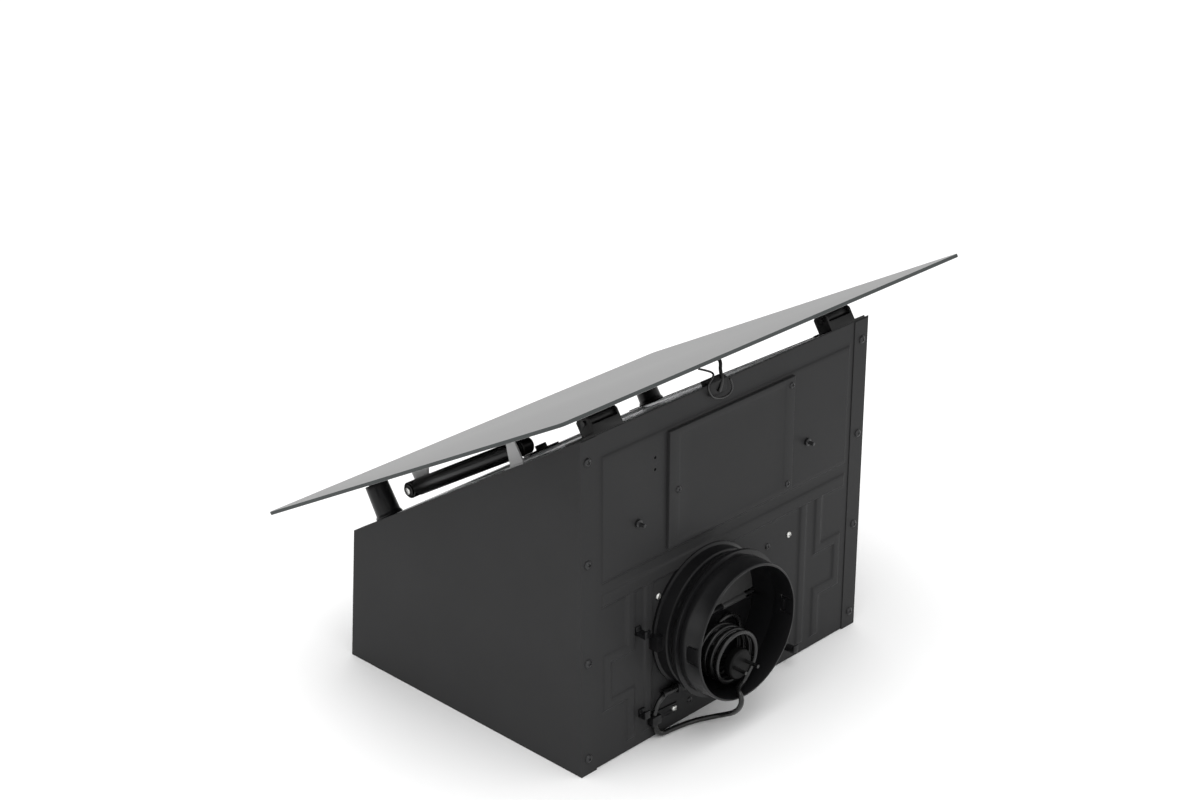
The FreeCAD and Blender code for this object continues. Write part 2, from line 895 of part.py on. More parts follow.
def rest_posts():
    """Posts near the in-use lower corners, on which the closed glass rests through rubber buffers."""
    posts, buffers = [], []
    for side in (-1, 1):
        across = side * (half_width - s.post_inset)
        name = "near" if side < 0 else "far"
        post = new_body(f"rest_post_{name}")
        shoulder = s.post_height - s.buffer_height
        turn(post, 0, 0, [
            (0, 0), (s.post_radius + 1.5, 0), (s.post_radius + 1.5, 2), (s.post_radius, 4),
            (s.post_radius - 0.8, shoulder), (0, shoulder),
        ])
        y, z = slant_point(s.post_along, 0)
        place(post, across, y, z, -slant_angle)
        posts.append(post)
        rubber = new_body(f"post_buffer_{name}")
        turn(rubber, 0, 0, [
            (0, shoulder), (s.post_radius - 5, shoulder), (s.post_radius - 5, s.post_height - 3),
            (s.post_radius - 10.5, s.post_height), (0, s.post_height),
        ])
        place(rubber, across, y, z, -slant_angle)
        buffers.append(rubber)
    keep(group("rest_posts", posts), group("post_buffers", buffers))


def glass_panel():
    """Flat glass front with small rounded corners, past the casing on every side."""
    item = new_body("glass_panel")
    half = s.glass_width / 2
    start = -s.glass_overhang
    pad(item, "z", 0, s.glass_gauge, [rectangle(-half, start, half, start + s.glass_length)])
    round_corners(item, s.glass_corner, "z")
    on_panel(item)
    keep(item)


def panel_frame():
    """Sheet glued behind the glass, its sides folded down, with four lightening windows."""
    item = new_body("panel_frame")
    half = half_width - s.panel_frame_inset
    start, thick = 3, s.panel_frame_gauge
    end = start + s.panel_frame_length
    pad(item, "z", -thick, thick, [rectangle(-half, start, half, end)])
    fold = s.panel_frame_fold
    for side in (-1, 1):
        low = -half if side < 0 else half - thick
        pad(item, "z", -fold, fold, [rectangle(low, start + 34, low + thick, end)])
    for column in (-1, 1):
        for row in (0, 1):
            u0 = 20 if column > 0 else -half + 45
            v0 = start + 70 + row * 150
            pocket(item, "z", -thick - 1, thick + 2, [rectangle(u0, v0, u0 + half - 65, v0 + 110)])
    on_panel(item)
    keep(item)


hinge_bases()
hinge_pins()
hinge_leaves()
rest_posts()
glass_panel()
panel_frame()

# ---------------------------------------------------------------- gas strut
strut_across = s.strut_inset - half_width
strut_run = s.strut_panel_along - s.strut_casing_along
strut_rise = s.strut_panel_above - s.strut_casing_above
strut_length = root(strut_run * strut_run + strut_rise * strut_rise)
cylinder_end = strut_length - s.strut_end_radius - 1.2


def along_strut(item):
    """Lays a piece along the closed strut: its Y runs from the casing pin to the panel pin."""
    y, z = slant_point(s.strut_casing_along, s.strut_casing_above)
    place(item, 0, y, z, slope_angle(strut_rise, strut_run) - slant_angle)


def strut_eye(item, at):
    """Rounded end fitting, two steps wide, about a pin across the strut."""
    width, radius = s.strut_end_width, s.strut_end_radius
    pad(item, "x", strut_across - width / 2, width, circles=[(at, 0, radius)])
    pad(item, "x", strut_across - width / 2 - 2, width + 4, circles=[(at, 0, radius - 2)])


def strut_pin_hole(item, at, gap):
    reach = s.strut_end_width
    pocket(item, "x", strut_across - reach, reach * 2, circles=[(at, 0, s.pin_radius + gap)])


def strut_cylinder():
    """Tube with an eye on the casing pin, a bore for the piston and a guide for the rod."""
    item = new_body("strut_cylinder")
    strut_eye(item, 0)
    pad(item, "y", 5, cylinder_end - 5, circles=[(strut_across, 0, s.strut_radius)])
    pocket(item, "y", 14, cylinder_end - 24, circles=[(strut_across, 0, s.strut_radius - 1.3)])
    pocket(item, "y", cylinder_end - 11, 12, circles=[(strut_across, 0, s.strut_rod_radius + s.running_gap)])
    strut_pin_hole(item, 0, s.running_gap)
    along_strut(item)
    keep(item)


def strut_rod():
    """Rod with its piston, pressed into the end fitting on the panel pin."""
    item = new_body("strut_rod")
    seat = strut_length - s.strut_end_radius / 2
    pad(item, "y", 22, seat - 22, circles=[(strut_across, 0, s.strut_rod_radius)])
    pad(item, "y", 18, 8, circles=[(strut_across, 0, s.strut_radius - 1.8)])
    along_strut(item)
    fitting = new_body("strut_fitting")
    strut_eye(fitting, strut_length)
    pocket(fitting, "y", seat - s.strut_end_radius, s.strut_end_radius, circles=[
        (strut_across, 0, s.strut_rod_radius),
    ])
    strut_pin_hole(fitting, strut_length, 0)
    along_strut(fitting)
    keep(item, fitting)


def strut_end_pin():
    """Pin through the rod's eye. It stops just short of the panel's bracket."""
    item = new_body("strut_end_pin")
    head = s.strut_end_width / 2 + 2
    reach = s.strut_bracket_offset - s.seat_gap
    pad(item, "x", strut_across - head, reach + head, circles=[(strut_length, 0, s.pin_radius)])
    pad(item, "x", strut_across - head - 1.5, 1.5, circles=[(strut_length, 0, s.pin_radius + 1.5)])
    along_strut(item)
    keep(item)


def strut_bracket_casing():
    """Grey bracket riveted on the front frame beside the strut, with the strut's pin."""
    item = new_body("strut_bracket_casing")
    along, above, thick = s.strut_casing_along, s.strut_casing_above, s.strut_bracket_gauge
    start = strut_across - s.strut_bracket_offset - thick
    upright = [(along - 6, -gauge), (along + 17, -gauge), (along + 9, 24), (along - 5, 24)]
    pad(item, "x", start, thick, [upright])
    pad(item, "z", -gauge, thick, [rectangle(start - 7, along - 14, start + thick, along + 17)])
    pad(item, "x", start, s.strut_bracket_offset + thick + 6, circles=[(along, above, s.pin_radius)])
    on_slant(item)
    keep(item)


def strut_bracket_panel():
    """Grey bracket under the panel frame, on the strut's other side."""
    item = new_body("strut_bracket_panel")
    along, above = panel_point(s.strut_panel_along, s.strut_panel_above)
    thick = s.strut_bracket_gauge
    top = -s.panel_frame_gauge
    start = strut_across + s.strut_bracket_offset
    upright = [(along - 26, top), (along + 10, top), (along + 7, above - 6), (along - 8, above - 6)]
    pad(item, "x", start, thick, [upright])
    pad(item, "z", top - thick, thick, [rectangle(start, along - 26, start + 16, along + 10)])
    on_panel(item)
    keep(item)


strut_cylinder()
strut_rod()
strut_end_pin()
strut_bracket_casing()
strut_bracket_panel()

# ---------------------------------------------------------------- grease filter
filter_half = s.filter_width / 2
filter_end = s.filter_start + s.filter_length


def filter_frame():
    """Frame that drops into the front frame's opening and hangs there by its lip."""
    item = new_body("filter_frame")
    half, start, end, gap = filter_half, s.filter_start, filter_end, s.filter_gap
    pad(item, "z", -gauge, gauge, [rectangle(-half - 4, start - 4, half + 4, end + 4)])
    low = -gauge - s.filter_depth
    pad(item, "z", low, s.filter_depth, [rectangle(-half + gap, start + gap, half - gap, end - gap)])
    pocket(item, "z", low - 1, s.filter_depth + gauge + 2, [
        rectangle(-half + 12, start + 12, half - 12, end - 12),
    ])
    on_slant(item)
    keep(item)


def filter_mesh():
    """Slotted aluminium pad held in the frame's middle."""
    item = new_body("filter_mesh")
    half, start, end = filter_half - 12, s.filter_start + 12, filter_end - 12
    pad(item, "z", -7, 4, [rectangle(-half, start, half, end)])
    pitch = (end - start) / 16
    low, high = start + pitch / 2 - 4, start + pitch / 2 + 4
    slots = [rectangle(-half + 8, low, -6, high), rectangle(6, low, half - 8, high)]
    row_of(item, pocket(item, "z", -8, 6, slots), pitch * 15, 16)
    on_slant(item)
    keep(item)


def filter_latch():
    """Slide latch with a finger hole on the filter's lower rail."""
    item = new_body("filter_latch")
    at = filter_end - 6
    pad(item, "z", 0, 2, [rectangle(-22, at - 5, 22, at + 9)])
    pad(item, "z", 0, 7, [rectangle(-8, at - 1, 8, at + 1)])
    on_slant(item)
    keep(item)


filter_frame()
filter_mesh()
filter_latch()

# ---------------------------------------------------------------- blower
blower_top = s.blower_low + s.blower_depth
impeller_low = s.blower_low + 20


def scroll(inset):
    """Outline of the scroll, opening as it turns from the lower face towards the duct."""
    points = []
    for step in range(28):
        angle = math.radians(90 - 360 * step / 28)
        radius = s.scroll_start + s.scroll_growth * step / 28 - inset
        points.append((s.blower_across + radius * math.cos(angle), s.blower_along + radius * math.sin(angle)))
    return points


def blower_housing():
    """Scroll housing with its outlet channel, an inlet above and a motor hole below."""
    item = new_body("blower_housing")
    left, right = s.outlet_across - bore_radius, s.outlet_across + bore_radius
    front = duct_y + gauge * 2
    wall = s.blower_gauge
    channel = [(left, front), (right, front), (right, front + 80), (s.blower_across - 100, s.blower_along),
               (left, front + 60)]
    inside = [(left + wall, front - 1), (right - wall, front - 1), (right - wall, front + 78),
              (s.blower_across - 97, s.blower_along - 6), (left + wall, front + 59)]
    pad(item, "z", s.blower_low, s.blower_depth, [scroll(0)])
    pad(item, "z", s.blower_low, s.blower_depth, [channel])
    pocket(item, "z", s.blower_low + wall, s.blower_depth - wall * 2, [scroll(wall)])
    pocket(item, "z", s.blower_low + wall, s.blower_depth - wall * 2, [inside])
    eye = (s.blower_across, s.blower_along, s.impeller_radius - 14)
    pocket(item, "z", blower_top - wall - 1, wall + 2, circles=[eye])
    hole = (s.blower_across, s.blower_along, s.motor_radius + 3)
    pocket(item, "z", s.blower_low - 1, wall + 2, circles=[hole])
    keep(item)


def inlet_ring():
    """Rounded inlet on the housing, facing the grease filter."""
    item = new_body("inlet_ring")
    outer, inner = s.impeller_radius - 4, s.impeller_radius - 16
    turn(item, s.blower_across, s.blower_along, [
        (inner, blower_top - 6),
        (inner + 1.2, blower_top - 6),
        (inner + 1.8, blower_top),
        (outer, blower_top),
        (outer, blower_top + 1.2),
        (inner + 1.5, blower_top + 1.2),
    ])
    keep(item)


def impeller():
    """Drum of blades between a back plate and a front ring, on a hub."""
    item = new_body("impeller")
    outer = s.impeller_radius
    inner = outer - 13
    high = impeller_low + s.impeller_depth
    shaft = 4
    turn(item, 0, 0, [
        (shaft + s.running_gap, impeller_low),
        (outer, impeller_low),
        (outer, impeller_low + 2),
        (14, impeller_low + 2),
        (12, impeller_low + 14),
        (shaft + s.running_gap, impeller_low + 14),
    ])
    blade = rectangle(inner, -0.6, outer - 0.2, 0.6)
    ring_of(item, pad(item, "z", impeller_low + 1, s.impeller_depth - 2, [blade]), 24)
    turn(item, 0, 0, [
        (inner - 1, high - 2),
        (outer + 0.8, high - 2),
        (outer + 0.8, high),
        (inner - 1, high),
    ])
    place(item, s.blower_across, s.blower_along)
    keep(item)


def motor():
    """Motor can with its shaft through the impeller's hub."""
    item = new_body("motor")
    low = gauge + 3
    turn(item, s.blower_across, s.blower_along, [
        (0, low),
        (s.motor_radius, low),
        (s.motor_radius, low + s.motor_height - 16),
        (s.motor_radius - 6, low + s.motor_height - 6),
        (14, low + s.motor_height - 6),
        (14, low + s.motor_height - 2),
        (4, low + s.motor_height - 2),
        (4, impeller_low + 16),
        (0, impeller_low + 16),
    ])
    keep(item)


def motor_bracket():
    """Channel on the wall plate that carries the motor and the housing."""
    item = new_body("motor_bracket")
    reach = s.motor_radius + 22
    middle, along = s.blower_across, s.blower_along
    pad(item, "z", gauge, 3, [rectangle(middle - reach, along - 40, middle + reach, along + 40)])
    for side in (-1, 1):
        start = middle + reach - 2 if side > 0 else middle - reach
        upright = rectangle(along - 40, gauge, along + 40, s.blower_low)
        pad(item, "x", start, 2, [upright])
    keep(item)


def control_box():
    """Box of electronics on the wall plate."""
    item = new_body("control_box")
    start, side = as_size(60), half_width - 14
    pad(item, "z", gauge, 38, [rectangle(side - 84, start, side, start + 96)])
    pad(item, "z", gauge + 38, 2, [rectangle(side - 86, start - 2, side + 2, start + 98)])
    keep(item)


blower_housing()
inlet_ring()
impeller()
motor()
motor_bracket()
control_box()

# ---------------------------------------------------------------- lamps, touch unit and wiring


def lamps():
    """Recessed lamps in the lower face: a bezel and a lens each."""
    bezels, lenses = [], []
    for side in (-1, 1):
        name = "near" if side < 0 else "far"
        across, up = side * s.lamp_across, -s.lamp_up
        bezel = new_body(f"lamp_bezel_{name}")
        radius = s.lamp_radius
        turn(bezel, across, up, [
            (radius - 3, -12),
            (radius - 0.4, -12),
            (radius - 0.4, 0),
            (radius + 3, 0),
            (radius - 3, 2),
        ])
        on_lower_face(bezel)
        bezels.append(bezel)
        lens = new_body(f"lamp_lens_{name}")
        turn(lens, across, up, [(0, -2), (radius - 3, -2), (radius - 3, 0.6), (0, 0.6)])
        on_lower_face(lens)
        lenses.append(lens)
    keep(group("lamp_bezels", bezels), group("lamp_lenses", lenses))


def touch_unit():
    """Box of the touch controls under the panel frame."""
    item = new_body("touch_unit")
    start = s.panel_frame_length - 44
    top = -s.panel_frame_gauge
    pad(item, "z", top - 9, 9, [rectangle(-62, start, 62, start + 34)])
    pad(item, "z", top - 12, 4, [rectangle(-44, start + 8, -20, start + 26)])
    on_panel(item)
    keep(item)


lamps()
touch_unit()

# ---------------------------------------------------------------- mains cord
def point(x, depth, z):
    """A point given by its depth in front of the duct face."""
    return FreeCAD.Vector(float(x), float(duct_y - depth), float(z))


def arc_in_corner(start, corner, end):
    """Arc that touches both legs of a corner, which are equally long, and its radius."""
    middle = (start + end) * 0.5
    to_middle = middle - corner
    leg = (start - corner).Length
    half_turn = math.asin(min(1.0, to_middle.Length / leg))
    radius = leg / math.tan(half_turn)
    reach = radius / math.cos(half_turn) - radius
    through = corner + to_middle * (reach / to_middle.Length)
    return Part.Arc(start, through, end).toShape(), radius


def rounded_run(points):
    """Straight runs joined by arcs that touch them, and the arcs' radii."""
    edges, radii = [], []
    at = points[0]
    for before, corner, after in zip(points, points[1:], points[2:]):
        leg = 0.45 * min((corner - before).Length, (after - corner).Length)
        start = corner + (before - corner).normalize() * leg
        end = corner + (after - corner).normalize() * leg
        arc, radius = arc_in_corner(start, corner, end)
        edges += [Part.LineSegment(at, start).toShape(), arc]
        radii.append(radius)
        at = end
    edges.append(Part.LineSegment(at, points[-1]).toShape())
    return edges, radii


def coil_place(angle):
    """Point and direction on the coil. The angle in degrees starts at the bottom and winds inwards."""
    turn_angle = math.radians(angle)
    radius, pitch = float(s.coil_radius), float(s.coil_pitch)
    depth = s.coil_front - s.coil_pitch * angle / 360
    place_on = point(
        s.coil_across + radius * math.sin(turn_angle), depth, s.coil_up - radius * math.cos(turn_angle)
    )
    heading = FreeCAD.Vector(
        radius * math.cos(turn_angle), pitch / (2 * math.pi), radius * math.sin(turn_angle)
    )
    return place_on, heading.normalize()


def coil_edges(first, last):
    """Two arcs for each quarter turn or less, touching where they meet."""
    edges = []
    count = math.ceil((last - first) / 90)
    for step in range(count):
        start, heading = coil_place(first + (last - first) * step / count)
        end, leaving = coil_place(first + (last - first) * (step + 1) / count)
        across = end - start
        both = heading + leaving
        bend = 2 * (1 - heading.dot(leaving))
        along = across.dot(both)
        leg = (-along + math.sqrt(along * along + bend * across.dot(across))) / bend
        corner_1, corner_2 = start + heading * leg, end - leaving * leg
        joint = (corner_1 + corner_2) * 0.5
        edges += [arc_in_corner(start, corner_1, joint)[0], arc_in_corner(joint, corner_2, end)[0]]
    return edges


def tube(label, edges):
    """One unbroken tube along touching edges, checked against its section times its length."""
    path = Part.Wire(edges)
    radius = float(s.cord_radius)
    heading = edges[0].tangentAt(edges[0].FirstParameter)
    ring = Part.Wire(Part.makeCircle(radius, edges[0].valueAt(edges[0].FirstParameter), heading))
    solid = path.makePipeShell([ring], True, False)
    share = solid.Volume / (math.pi * radius ** 2 * path.Length)
    item = doc.addObject("Part::Feature", label)
    item.Label = label
    item.Shape = solid
    print(f"{label}: length {path.Length:.0f}, volume over section times length {share:.3f}")
    return item


def least_gap(edges):
    """Least gap of a tube to itself, measured on points 2 mm apart."""
    points = Part.Wire(edges).discretize(Distance=2)
    apart = math.ceil(math.pi * float(s.cord_radius))
    near = min(
        (p - q).Length
        for index, p in enumerate(points)
        for q in points[index + apart:]
    )
    return near - 2 * float(s.cord_radius)


floor_lift = s.cord_radius + 0.6
lip_up = s.outlet_up - bore_radius
coil_start, coil_heading = coil_place(float(s.coil_first_angle))
cord_drop = s.cord_drop_offset - bead_across
laid_route = [
    point(s.cord_exit_across, cord_rest, s.cord_exit_up),
    point(cord_drop, cord_rest, s.cord_exit_up),
    point(cord_drop, cord_rest + 0.4, floor_lift),
    point(cord_drop + 30, cord_rest + 3, floor_lift),
    point(cord_drop + 56, 14, floor_lift + 0.4),
    point(s.coil_across - 7, 34, floor_lift + 7),
    point(s.coil_across - 6, s.collar_front - 6, lip_up - 25),
    point(s.coil_across - 9, s.collar_front + 8, lip_up - 17.4),
    point(s.coil_across - 13, s.collar_front + 16.5, lip_up - 4.4),
    point(s.coil_across - 15, s.collar_front + 9, lip_up + 8),
    point(s.coil_across - 8, s.collar_front - 7, lip_up + 7.2),
    coil_start - coil_heading * 15.5,
    coil_start,
]
last_angle = 360 * float(s.coil_turns)
coil_end, end_heading = coil_place(last_angle)
coil_back = s.coil_front - s.coil_pitch * s.coil_turns
tail_depth = coil_back - 2.9
coil_top = s.coil_up + s.coil_radius
right, left = s.coil_across + 42, s.coil_across
plug_up = s.coil_up - s.plug_drop
plug_rear = s.plug_front - 20
tail_route = [
    coil_end,
    coil_end + end_heading * 30,
    point(right, coil_back - 2.4, s.coil_up - 16),
    point(right, tail_depth, coil_top - 12.3),
    point(right - 12.3, tail_depth, coil_top),
    point(left + 12.3, tail_depth, coil_top),
    point(left, tail_depth, coil_top - 12.3),
    point(left, tail_depth, plug_up + 7.6),
    point(left, tail_depth + 7.6, plug_up),
    point(left, plug_rear, plug_up),
]


def mains_cord():
    """Round rubber cord down the duct face to the floor, and its stowed stretch over the collar's lip."""
    edges, radii = rounded_run(laid_route)
    print("laid cord radii:", [round(radius, 1) for radius in radii])
    lift = 8
    start, end = (edges[lift].valueAt(at) for at in edges[lift].ParameterRange)
    middle = (start + end) * 0.5
    laid = edges[:lift] + [Part.LineSegment(start, middle).toShape()]
    stowed = [Part.LineSegment(middle, end).toShape()] + edges[lift + 1:]
    keep(tube("mains_cord", laid), tube("cord_over_lip", stowed))


def cord_coil():
    """The rest of the cord: its coil inside the collar, and its end up to the plug."""
    tail, radii = rounded_run(tail_route)
    print("cord end radii:", [round(radius, 1) for radius in radii])
    edges = coil_edges(float(s.coil_first_angle), last_angle) + tail
    print(f"least gap of the coil to itself: {least_gap(edges):.2f}")
    keep(tube("cord_coil", edges))


def cord_boot():
    """Tapered strain relief where the cord leaves the outlet base."""
    item = new_body("cord_boot")
    inner, long = s.cord_radius, s.cord_boot_length
    turn(item, 0, 0, [
        (inner, 0), (inner + 1.6, 0), (inner + 1.6, 3), (inner + 1, long), (inner + 0.4, long),
    ])
    item.Placement = FreeCAD.Placement(point(0, 0, 0), FreeCAD.Rotation(FreeCAD.Vector(0, 1, 0), -90))
    bind(item, "Placement.Base.x", s.cord_exit_across)
    bind(item, "Placement.Base.y", duct_y - cord_rest)
    bind(item, "Placement.Base.z", s.cord_exit_up)
    keep(item)


def cord_clamp():
    """Saddle that holds the cord on the duct face, with a strap to its own screw."""
    item = new_body("cord_clamp")
    across = cord_drop
    low, high = s.clamp_low, s.clamp_high
    on_bead = s.emboss_height - gauge
    pad(item, "z", on_bead, cord_rest + 3.8, [rectangle(across - 6.5, low, across + 6.5, high)])
    strap = [(across + 2, low), (s.outlet_across - 40, s.outlet_up - 101),
             (s.outlet_across - 40, s.outlet_up - 90), (across + 2, high)]
    pad(item, "z", drum_seat, 2, [strap])
    pocket(item, "y", low - 1, high - low + 2, circles=[(across, cord_rest + 0.2, s.cord_radius + 0.3)])
    screw_at = PLATE_SCREWS[3]
    pocket(item, "z", drum_seat - 1, 4, circles=[(*screw_at, s.screw_shank_radius + 0.1)])
    on_duct_face(item)
    fixing = screw("cord_clamp_screw", s.screw_head_radius)
    place(fixing, screw_at[0], duct_y - 1, screw_at[1], 90)
    keep(item, fixing)


def mains_plug():
    """Flat round plug whose boot takes the cord's end, inside the coil."""
    item = new_body("mains_plug")
    radius, front = s.plug_radius, s.plug_front
    turn(item, 0, 0, [
        (0, plug_rear), (s.cord_radius + 0.8, plug_rear), (s.cord_radius + 4, plug_rear + 8),
        (radius - 2, plug_rear + 9), (radius, plug_rear + 11), (radius, front - 1.5),
        (radius - 1.5, front), (0, front),
    ])
    place(item, left, duct_y, plug_up, 90)
    pins = new_body("plug_pins")
    pad(pins, "z", front, 15, circles=[(side * 9.5, 0, 2) for side in (-1, 1)])
    place(pins, left, duct_y, plug_up, 90)
    keep(item, pins)


def cable_guide():
    """Moulded guide that takes the touch unit's wires over the rim, with their connector."""
    item = new_body("cable_guide")
    outer, inner = duct_y - 1.5, duct_y + gauge
    high = s.duct_face_height
    outline = [
        (outer, high - 13), (inner, high - 13), (inner, high - 4.5), (inner - 0.9, high - 4),
        slant_point(0.1, 0.4), slant_point(1.6, 0), slant_point(11, 0), slant_point(11, 6),
        slant_point(3, 6), (outer, high + 1),
    ]
    pad(item, "x", -36, 26, [outline])
    keep(item)


mains_cord()
cord_coil()
cord_boot()
cord_clamp()
mains_plug()
cable_guide()

# ---------------------------------------------------------------- checks and files
doc.recompute()
for item in doc.Objects:
    bad = [word for word in item.State if word in ("Invalid", "Error")]
    if bad:
        raise SystemExit(f"{item.Label}: {bad}")
for item in PARTS:
    if item.Shape.isNull() or not item.Shape.isValid():
        raise SystemExit(f"{item.Label}: no valid shape")
os.makedirs("parts", exist_ok=True)
for item in PARTS:
    item.Shape.exportStep(f"parts/{item.Label}.step")
print(f"{len(PARTS)} pieces written")
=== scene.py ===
import bmesh
import bpy
import json
import math
from mathutils import Matrix, Vector


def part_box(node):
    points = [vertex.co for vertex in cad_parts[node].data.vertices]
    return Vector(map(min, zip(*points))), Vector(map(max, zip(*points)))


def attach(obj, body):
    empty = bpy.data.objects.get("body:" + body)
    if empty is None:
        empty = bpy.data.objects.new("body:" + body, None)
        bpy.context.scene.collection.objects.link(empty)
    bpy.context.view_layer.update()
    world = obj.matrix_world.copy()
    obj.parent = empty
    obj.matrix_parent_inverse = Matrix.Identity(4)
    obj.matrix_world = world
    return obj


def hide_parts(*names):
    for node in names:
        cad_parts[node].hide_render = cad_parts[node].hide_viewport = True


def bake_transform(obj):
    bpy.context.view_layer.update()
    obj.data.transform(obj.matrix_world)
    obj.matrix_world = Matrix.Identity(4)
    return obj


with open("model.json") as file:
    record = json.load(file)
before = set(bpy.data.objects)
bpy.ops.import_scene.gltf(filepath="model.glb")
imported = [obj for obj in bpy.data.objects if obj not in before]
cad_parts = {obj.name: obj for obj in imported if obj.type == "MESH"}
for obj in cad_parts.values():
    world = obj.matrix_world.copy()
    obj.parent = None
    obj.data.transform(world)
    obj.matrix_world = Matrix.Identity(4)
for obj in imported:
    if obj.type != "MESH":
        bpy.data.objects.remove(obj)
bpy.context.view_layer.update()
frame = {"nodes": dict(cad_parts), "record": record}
MM = 0.001

# ---------------------------------------------------------------- studio
# A white floor that runs into a white surround, lit softly from above, from the duct face's side and
# from the left. The camera stands left of the duct face, above the hood, with a short telephoto lens.
lens_data = bpy.data.cameras.new("camera")
lens_data.sensor_width = 36
lens_data.lens = 70.27
lens_data.clip_end = 60
camera = bpy.data.objects.new("camera", lens_data)
camera.location = (-1.646, -1.584, 1.319)
camera.rotation_euler = (math.radians(65.80), math.radians(0.09), math.radians(-45.99))
bpy.context.scene.collection.objects.link(camera)
bpy.context.scene.camera = camera
bpy.context.scene.view_settings.view_transform = "Standard"

surround = bpy.data.worlds.new("surround")
surround.use_nodes = True
surround.node_tree.nodes["Background"].inputs["Color"].default_value = (1, 1, 1, 1)
surround.node_tree.nodes["Background"].inputs["Strength"].default_value = 1.0
bpy.context.scene.world = surround


def softbox(name, place, target, width, height, power):
    """An area light at a place, facing a target."""
    data = bpy.data.lights.new(name, "AREA")
    data.shape, data.size, data.size_y, data.energy = "RECTANGLE", width, height, power
    light = bpy.data.objects.new(name, data)
    light.location = place
    aim = Vector(target) - Vector(place)
    light.rotation_euler = aim.to_track_quat("-Z", "Y").to_euler()
    bpy.context.scene.collection.objects.link(light)


softbox("overhead", (-0.6, -0.4, 3.2), (0, 0, 0), 3.0, 3.0, 45)
softbox("duct_side", (-0.4, -3.2, 1.5), (0, 0, 0.2), 1.6, 1.6, 12)
softbox("near_side", (-3.2, 0.6, 1.2), (0, 0, 0.2), 1.2, 1.6, 6)


class Wire:
    """A node's output. Arithmetic on it adds Math nodes."""

    def __init__(self, tree, socket):
        self.tree, self.socket = tree, socket

    def maths(self, operation, first, second):
        return self.tree.node("ShaderNodeMath", {"operation": operation}, {0: first, 1: second})

    def __add__(self, other):
        return self.maths("ADD", self, other)

    def __sub__(self, other):
        return self.maths("SUBTRACT", self, other)

    def __rsub__(self, other):
        return self.maths("SUBTRACT", other, self)

    def __mul__(self, other):
        return self.maths("MULTIPLY", self, other)

    __radd__, __rmul__ = __add__, __mul__


class Tree:
    """A node tree, of a material or of geometry."""

    def __init__(self, tree):
        self.tree = tree

    def node(self, kind, settings=None, inputs=None, out=0):
        """Adds a node: its settings first, then the values or wires of its sockets."""
        made = self.tree.nodes.new(kind)
        for name, value in (settings or {}).items():
            setattr(made, name, value)
        for key, value in (inputs or {}).items():
            if isinstance(value, Wire):
                self.tree.links.new(value.socket, made.inputs[key])
            else:
                made.inputs[key].default_value = value
        return Wire(self, made.outputs[out])


def new_finish(name, colour, roughness, **fixed):
    """A material of one Principled shader; returns it, its tree and its shader node."""
    made = bpy.data.materials.new(name)
    made.use_nodes = True
    shader = made.node_tree.nodes["Principled BSDF"]
    shader.inputs["Base Color"].default_value = (*colour, 1)
    shader.inputs["Roughness"].default_value = roughness
    for key, value in fixed.items():
        shader.inputs[key.replace("_", " ")].default_value = value
    return made, Tree(made.node_tree), shader


def drive(shader, key, wire):
    """Feeds a wire to a socket of a shader."""
    wire.tree.tree.links.new(wire.socket, shader.inputs[key])


def mottle(tree, scale, detail=4):
    """Noise over the object's own coordinates, about 0.5 in the middle."""
    place = tree.node("ShaderNodeTexCoord", out=3)
    return tree.node("ShaderNodeTexNoise", inputs={"Vector": place, "Scale": scale, "Detail": detail})


def grained(name, colour, roughness, spread, grain, depth, blotch=9, tint=0.15, **fixed):
    """A finish whose gloss and shade drift over a few centimetres, with a fine raised grain."""
    made, tree, shader = new_finish(name, colour, roughness, **fixed)
    drift = mottle(tree, blotch)
    drive(shader, "Roughness", roughness + (drift - 0.5) * spread)
    low = tuple(c * (1 - tint) for c in colour)
    high = tuple(c * (1 + tint) for c in colour)
    drive(shader, "Base Color", tree.node(
        "ShaderNodeMix", {"data_type": "RGBA"}, {0: drift, 6: (*low, 1), 7: (*high, 1)}, out=2))
    drive(shader, "Normal", tree.node(
        "ShaderNodeBump", inputs={"Strength": 1.0, "Distance": depth, "Height": mottle(tree, grain, 2)}))
    return made


floor_finish = grained("studio_floor", (0.97, 0.97, 0.97), 0.85, 0.05, 60, 0.00002, 3, 0.01)
floor_reach, floor_drop = 9, 0.0002
floor_mesh = bpy.data.meshes.new("studio_floor")
floor_mesh.from_pydata([
    (-floor_reach, -floor_reach, 0), (floor_reach, -floor_reach, 0),
    (floor_reach, floor_reach, 0), (-floor_reach, floor_reach, 0),
], [], [(0, 1, 2, 3)])
floor_mesh.materials.append(floor_finish)
studio_floor = bpy.data.objects.new("studio_floor", floor_mesh)
studio_floor.location = (0, 0, -floor_drop)
bpy.context.scene.collection.objects.link(studio_floor)

# ---------------------------------------------------------------- casing sheets
# The casing is folded from 1 mm steel sheet, powder coated satin black, with a faint orange peel.
# The sides, the wall sheet, the lower sheet and the frame round the filter stay as the CAD has them.
black_paint = grained("black_powder_coat", (0.027, 0.027, 0.0275), 0.38, 0.10, 900, 0.000008,
                      Specular_IOR_Level=0.06)


def coat(finish, *nodes):
    """Gives CAD nodes a finish."""
    for name in nodes:
        for place in frame["nodes"][name].material_slots:
            place.material = finish


coat(black_paint, "side_panel_near", "side_panel_far", "wall_plate", "lower_plate", "front_frame")


def body_with(node):
    """The body that holds a CAD node."""
    bodies = frame["record"]["behaviour"]["bodies"]
    return next(body for body, nodes in bodies.items() if node in nodes)


